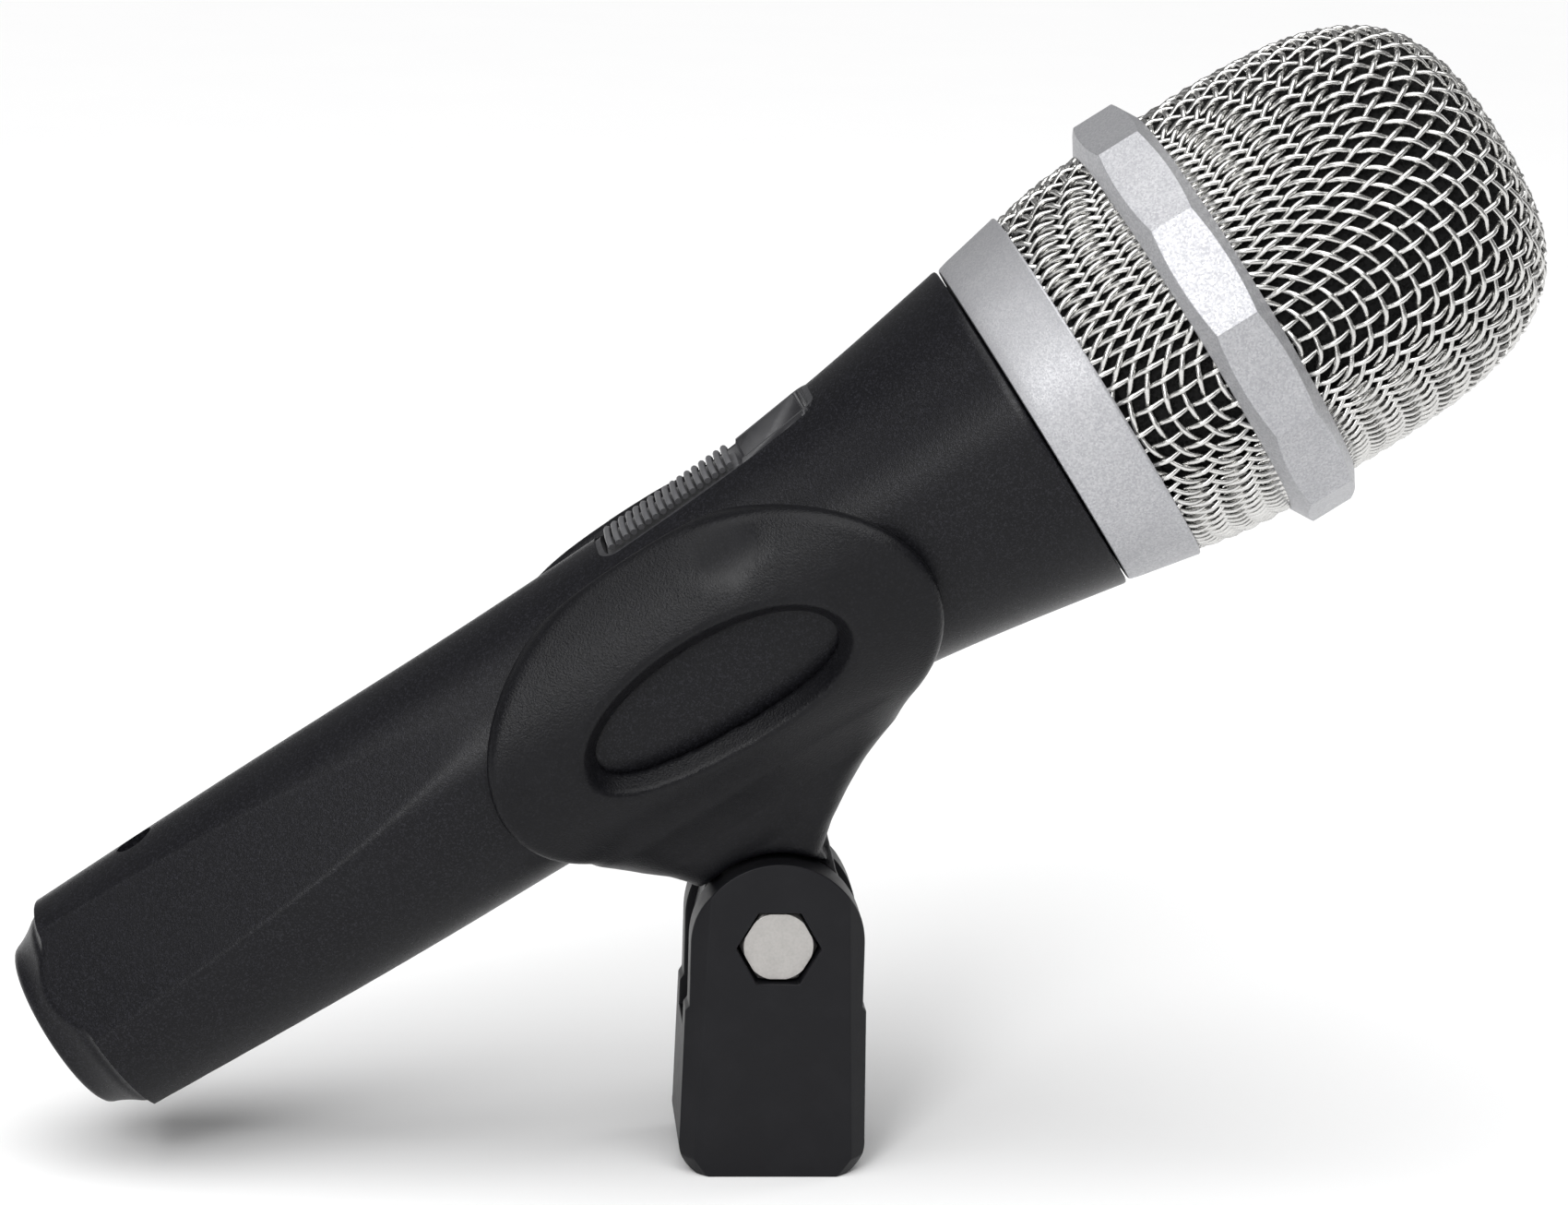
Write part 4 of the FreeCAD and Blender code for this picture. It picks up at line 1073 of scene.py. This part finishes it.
class MIC_OT_clip(bpy.types.Operator):
    """Clip cradle, one nylon moulding with rounded rims and a flared waist"""
    bl_idname = "mic.make_clip"
    bl_label = "Clip"

    def execute(self, context):
        cell = 0.40
        low, high = np.array((-19.6, -23.2, -46.2)), np.array((41.6, 23.2, 17.6))
        axes = [np.arange(a, b, cell) for a, b in zip(low, high)]
        x, y, z = np.meshgrid(*axes, indexing="ij")
        points, faces = surface_net(clip_field(x, y, z).astype(np.float32), low, cell)
        clip = mesh_piece("clip_moulding", points, faces.tolist())
        finished(shade(clip, 50), material("clip_nylon"), "clip", "clip_nylon", "clip_cradle")
        return {"FINISHED"}


# ---- stand adapter and hinge ----------------------------------------------------------------
def cad_copy(node, name):
    """A merged copy of a CAD node's mesh, in the row frame."""
    mesh = frame["nodes"][node].data.copy()
    mesh.materials.clear()
    piece = link(name, mesh)
    work = bmesh.new()
    work.from_mesh(mesh)
    bmesh.ops.remove_doubles(work, verts=work.verts, dist=2e-6)
    bmesh.ops.dissolve_limit(work, angle_limit=math.radians(1.0), verts=work.verts, edges=work.edges)
    work.to_mesh(mesh)
    work.free()
    return piece


class MIC_OT_adapter(bpy.types.Operator):
    """Stand adapter with its brass thread, hinge bolt, nut and washers"""
    bl_idname = "mic.make_adapter"
    bl_label = "Stand adapter"

    def execute(self, context):
        adapter = rounded(cad_copy("stand_adapter", "stand_adapter_moulding"), 0.0006, 3, 24)
        finished(adapter, material("adapter_nylon"), "stand", "adapter_nylon", "stand_adapter",
                 matrix=Matrix.Identity(4))
        for node, slot, width in (("hinge_bolt", "bolt_zinc", 0.00018), ("hinge_nut", "bolt_zinc", 0.00018),
                                  ("hinge_washers", "bolt_zinc", 0.00006)):
            piece = rounded(cad_copy(node, node + "_finished"), width, 2, 24)
            finished(piece, material(slot), "stand", slot, node, matrix=Matrix.Identity(4))

        pitch, turns = 25.4 / 27, 15
        outline = [(0, 8.5), (15.4, 8.5), (15.4, 8.1)]
        bore = [(x, 0.0) for x in np.arange(15.3, 0.15, -pitch / 6)]
        columns = 96
        angles = np.linspace(0, 2 * math.pi, columns, endpoint=False)
        points = []
        for height, radius in outline + bore + [(0, 8.05)]:
            turn = np.abs(((height / pitch + angles / (2 * math.pi)) % 1.0) * 2 - 1)
            radii = np.full(columns, radius) if radius else 7.5 + 0.5 * turn
            points += [(r * math.cos(a), r * math.sin(a), height + 0.02) for r, a in zip(radii, angles)]
        rows = len(outline) + len(bore) + 1
        insert = outward(mesh_piece("thread_insert_turned", points, ring_faces(rows, columns, True)))
        finished(shade(insert, 30), material("brass"), "stand", "brass", "thread_insert",
                 matrix=Matrix.Scale(MM, 4))
        return {"FINISHED"}


# ---- inner pieces ---------------------------------------------------------------------------
INNER_NODES = {
    "microphone": ("slide_switch", "switch_circuit_board", "switch_screws", "xlr_insert", "xlr_pins",
                   "xlr_set_screw", "plug_leads", "capsule_leads", "shock_mount", "capsule_housing",
                   "capsule_cap",
                   "capsule_screen", "magnet_yoke", "magnet", "pole_piece", "rear_chamber"),
    "switch_button": ("switch_lever",),
    "moving_coil": ("diaphragm", "voice_coil"),
}


class MIC_OT_felt(bpy.types.Operator):
    """Acoustic felt disc behind the capsule, a little crowned, with soft edges"""
    bl_idname = "mic.make_felt"
    bl_label = "Acoustic felt"

    def execute(self, context):
        start, end, radius = FELT
        middle, half = (start + end) / 2, (end - start) / 2
        edge = [(middle + half * math.cos(t), radius - half * 0.7 + half * 0.7 * math.sin(t))
                for t in np.linspace(0, math.pi, 13)]
        levels = [(share * (radius - half * 0.7), 0.90 + 0.10 * share) for share in (0.02, 0.3, 0.6, 0.85)]
        outline = [(middle + half * lift, reach) for reach, lift in levels] + edge
        outline += [(middle - half * lift, reach) for reach, lift in levels[::-1]]
        rng = np.random.default_rng(11)
        tufts = rng.uniform(-0.06, 0.0, (len(outline), 72))

        def tufted(x, radius, angles):
            row = int(abs(x * 10)) % len(outline)
            return radius + tufts[row] * min(1.0, radius / 4)

        pad = lathe("acoustic_felt_pad", outline, 72, tufted)
        finished(shade(pad, 180), material("felt"), "microphone", "felt", "acoustic_felt")
        return {"FINISHED"}


class MIC_OT_inner(bpy.types.Operator):
    """Gives every carried-over CAD node its own finish"""
    bl_idname = "mic.finish_inner"
    bl_label = "Inner pieces"

    def execute(self, context):
        slots = {row["node"]: row["material_slot"] for row in frame["record"]["subparts"]}
        for nodes in INNER_NODES.values():
            for node in nodes:
                piece = frame["nodes"][node]
                piece.data.materials.clear()
                piece.data.materials.append(material(slots[node]))
        return {"FINISHED"}


# ---- stage ----------------------------------------------------------------------------------
def softbox(name, place, target, size, power):
    light = bpy.data.lights.new(name, "AREA")
    light.shape = "RECTANGLE"
    light.size, light.size_y = size
    light.energy = power
    lamp = bpy.data.objects.new(name, light)
    lamp.location = place
    lamp.rotation_euler = (Vector(target) - Vector(place)).to_track_quat("-Z", "Y").to_euler()
    bpy.context.scene.collection.objects.link(lamp)
    return lamp


class MIC_OT_stage(bpy.types.Operator):
    """Camera, pale floor, white surroundings and soft studio lights"""
    bl_idname = "mic.make_stage"
    bl_label = "Stage"

    def execute(self, context):
        settings = context.scene.mic_stage
        data = bpy.data.cameras.new("camera")
        data.sensor_width = 36
        data.lens = settings.lens
        data.clip_start, data.clip_end = 0.05, 20
        camera = bpy.data.objects.new("camera", data)
        # where the camera stands, in metres from the hinge, and how it is turned
        camera.location = HINGE + Vector((-0.04181, -0.49871, 0.15394))
        heading, fall, roll = math.radians(-4.81), math.radians(12.88), math.radians(1.73)
        turn = Matrix.Rotation(heading, 4, "Z") @ Matrix.Rotation(math.pi / 2 - fall, 4, "X")
        camera.rotation_euler = (turn @ Matrix.Rotation(roll, 4, "Z")).to_euler()
        context.scene.collection.objects.link(camera)
        context.scene.camera = camera

        floor = mesh_piece("floor", [(x, y, 0) for x, y in ((-4, -3), (4, -3), (4, 7), (-4, 7))],
                           [(0, 1, 2, 3)])
        pale = Finish("pale_floor", (0.90, 0.90, 0.90), 0.8, specular=0.1)
        pale.tint(pale.stretch(pale.noise(60.0, 2.0), 0.3, 0.7, 0.0, 0.3), (0.88, 0.88, 0.885))
        floor.data.materials.append(pale.material)

        world = bpy.data.worlds.new("surroundings")
        world.use_nodes = True
        world.node_tree.nodes["Background"].inputs["Color"].default_value = (1, 1, 1, 1)
        world.node_tree.nodes["Background"].inputs["Strength"].default_value = settings.world
        context.scene.world = world
        context.scene.view_settings.view_transform = "Standard"

        centre = HINGE + Vector((0, 0, 0.05))
        softbox("key", centre + Vector((-0.34, -0.84, 0.42)) * 0.9, centre, (0.22, 0.46),
                settings.key_power)
        softbox("rim", centre + Vector((0.75, 0.35, 0.25)), centre, (0.25, 0.6), settings.key_power * 0.35)
        sky = bpy.data.lights.new("sky", "SUN")
        sky.energy = settings.sky_power
        sky.angle = math.radians(70)
        lamp = bpy.data.objects.new("sky", sky)
        lamp.rotation_euler = Vector((0.15, 0.35, -1)).to_track_quat("-Z", "Y").to_euler()
        context.scene.collection.objects.link(lamp)
        return {"FINISHED"}


# ---- panel and registration -----------------------------------------------------------------
STEPS = (MIC_OT_stage, MIC_OT_handle, MIC_OT_switch, MIC_OT_ring, MIC_OT_foam, MIC_OT_grille, MIC_OT_clip,
         MIC_OT_adapter, MIC_OT_felt, MIC_OT_inner)
SETTINGS = {"mic_grille": MicGrilleSettings, "mic_finish": MicFinishSettings, "mic_stage": MicStageSettings}


class MIC_PT_build(bpy.types.Panel):
    """Lists the steps that build the microphone"""
    bl_idname = "MIC_PT_build"
    bl_label = "Microphone"
    bl_space_type = "VIEW_3D"
    bl_region_type = "UI"
    bl_category = "Microphone"

    def draw(self, context):
        for step in STEPS:
            self.layout.operator(step.bl_idname)
        for name, group in SETTINGS.items():
            box = self.layout.box()
            for key in group.__annotations__:
                box.prop(getattr(context.scene, name), key)


def register():
    for group in SETTINGS.values():
        bpy.utils.register_class(group)
    for name, group in SETTINGS.items():
        setattr(bpy.types.Scene, name, PointerProperty(type=group))
    for kind in STEPS + (MIC_PT_build,):
        bpy.utils.register_class(kind)


def unregister():
    for kind in reversed(STEPS + (MIC_PT_build,)):
        bpy.utils.unregister_class(kind)
    for name in SETTINGS:
        delattr(bpy.types.Scene, name)
    for group in SETTINGS.values():
        bpy.utils.unregister_class(group)


def main():
    register()
    for step in STEPS:
        prefix, action = step.bl_idname.split(".")
        getattr(getattr(bpy.ops, prefix), action)()


if __name__ == "__main__":
    main()
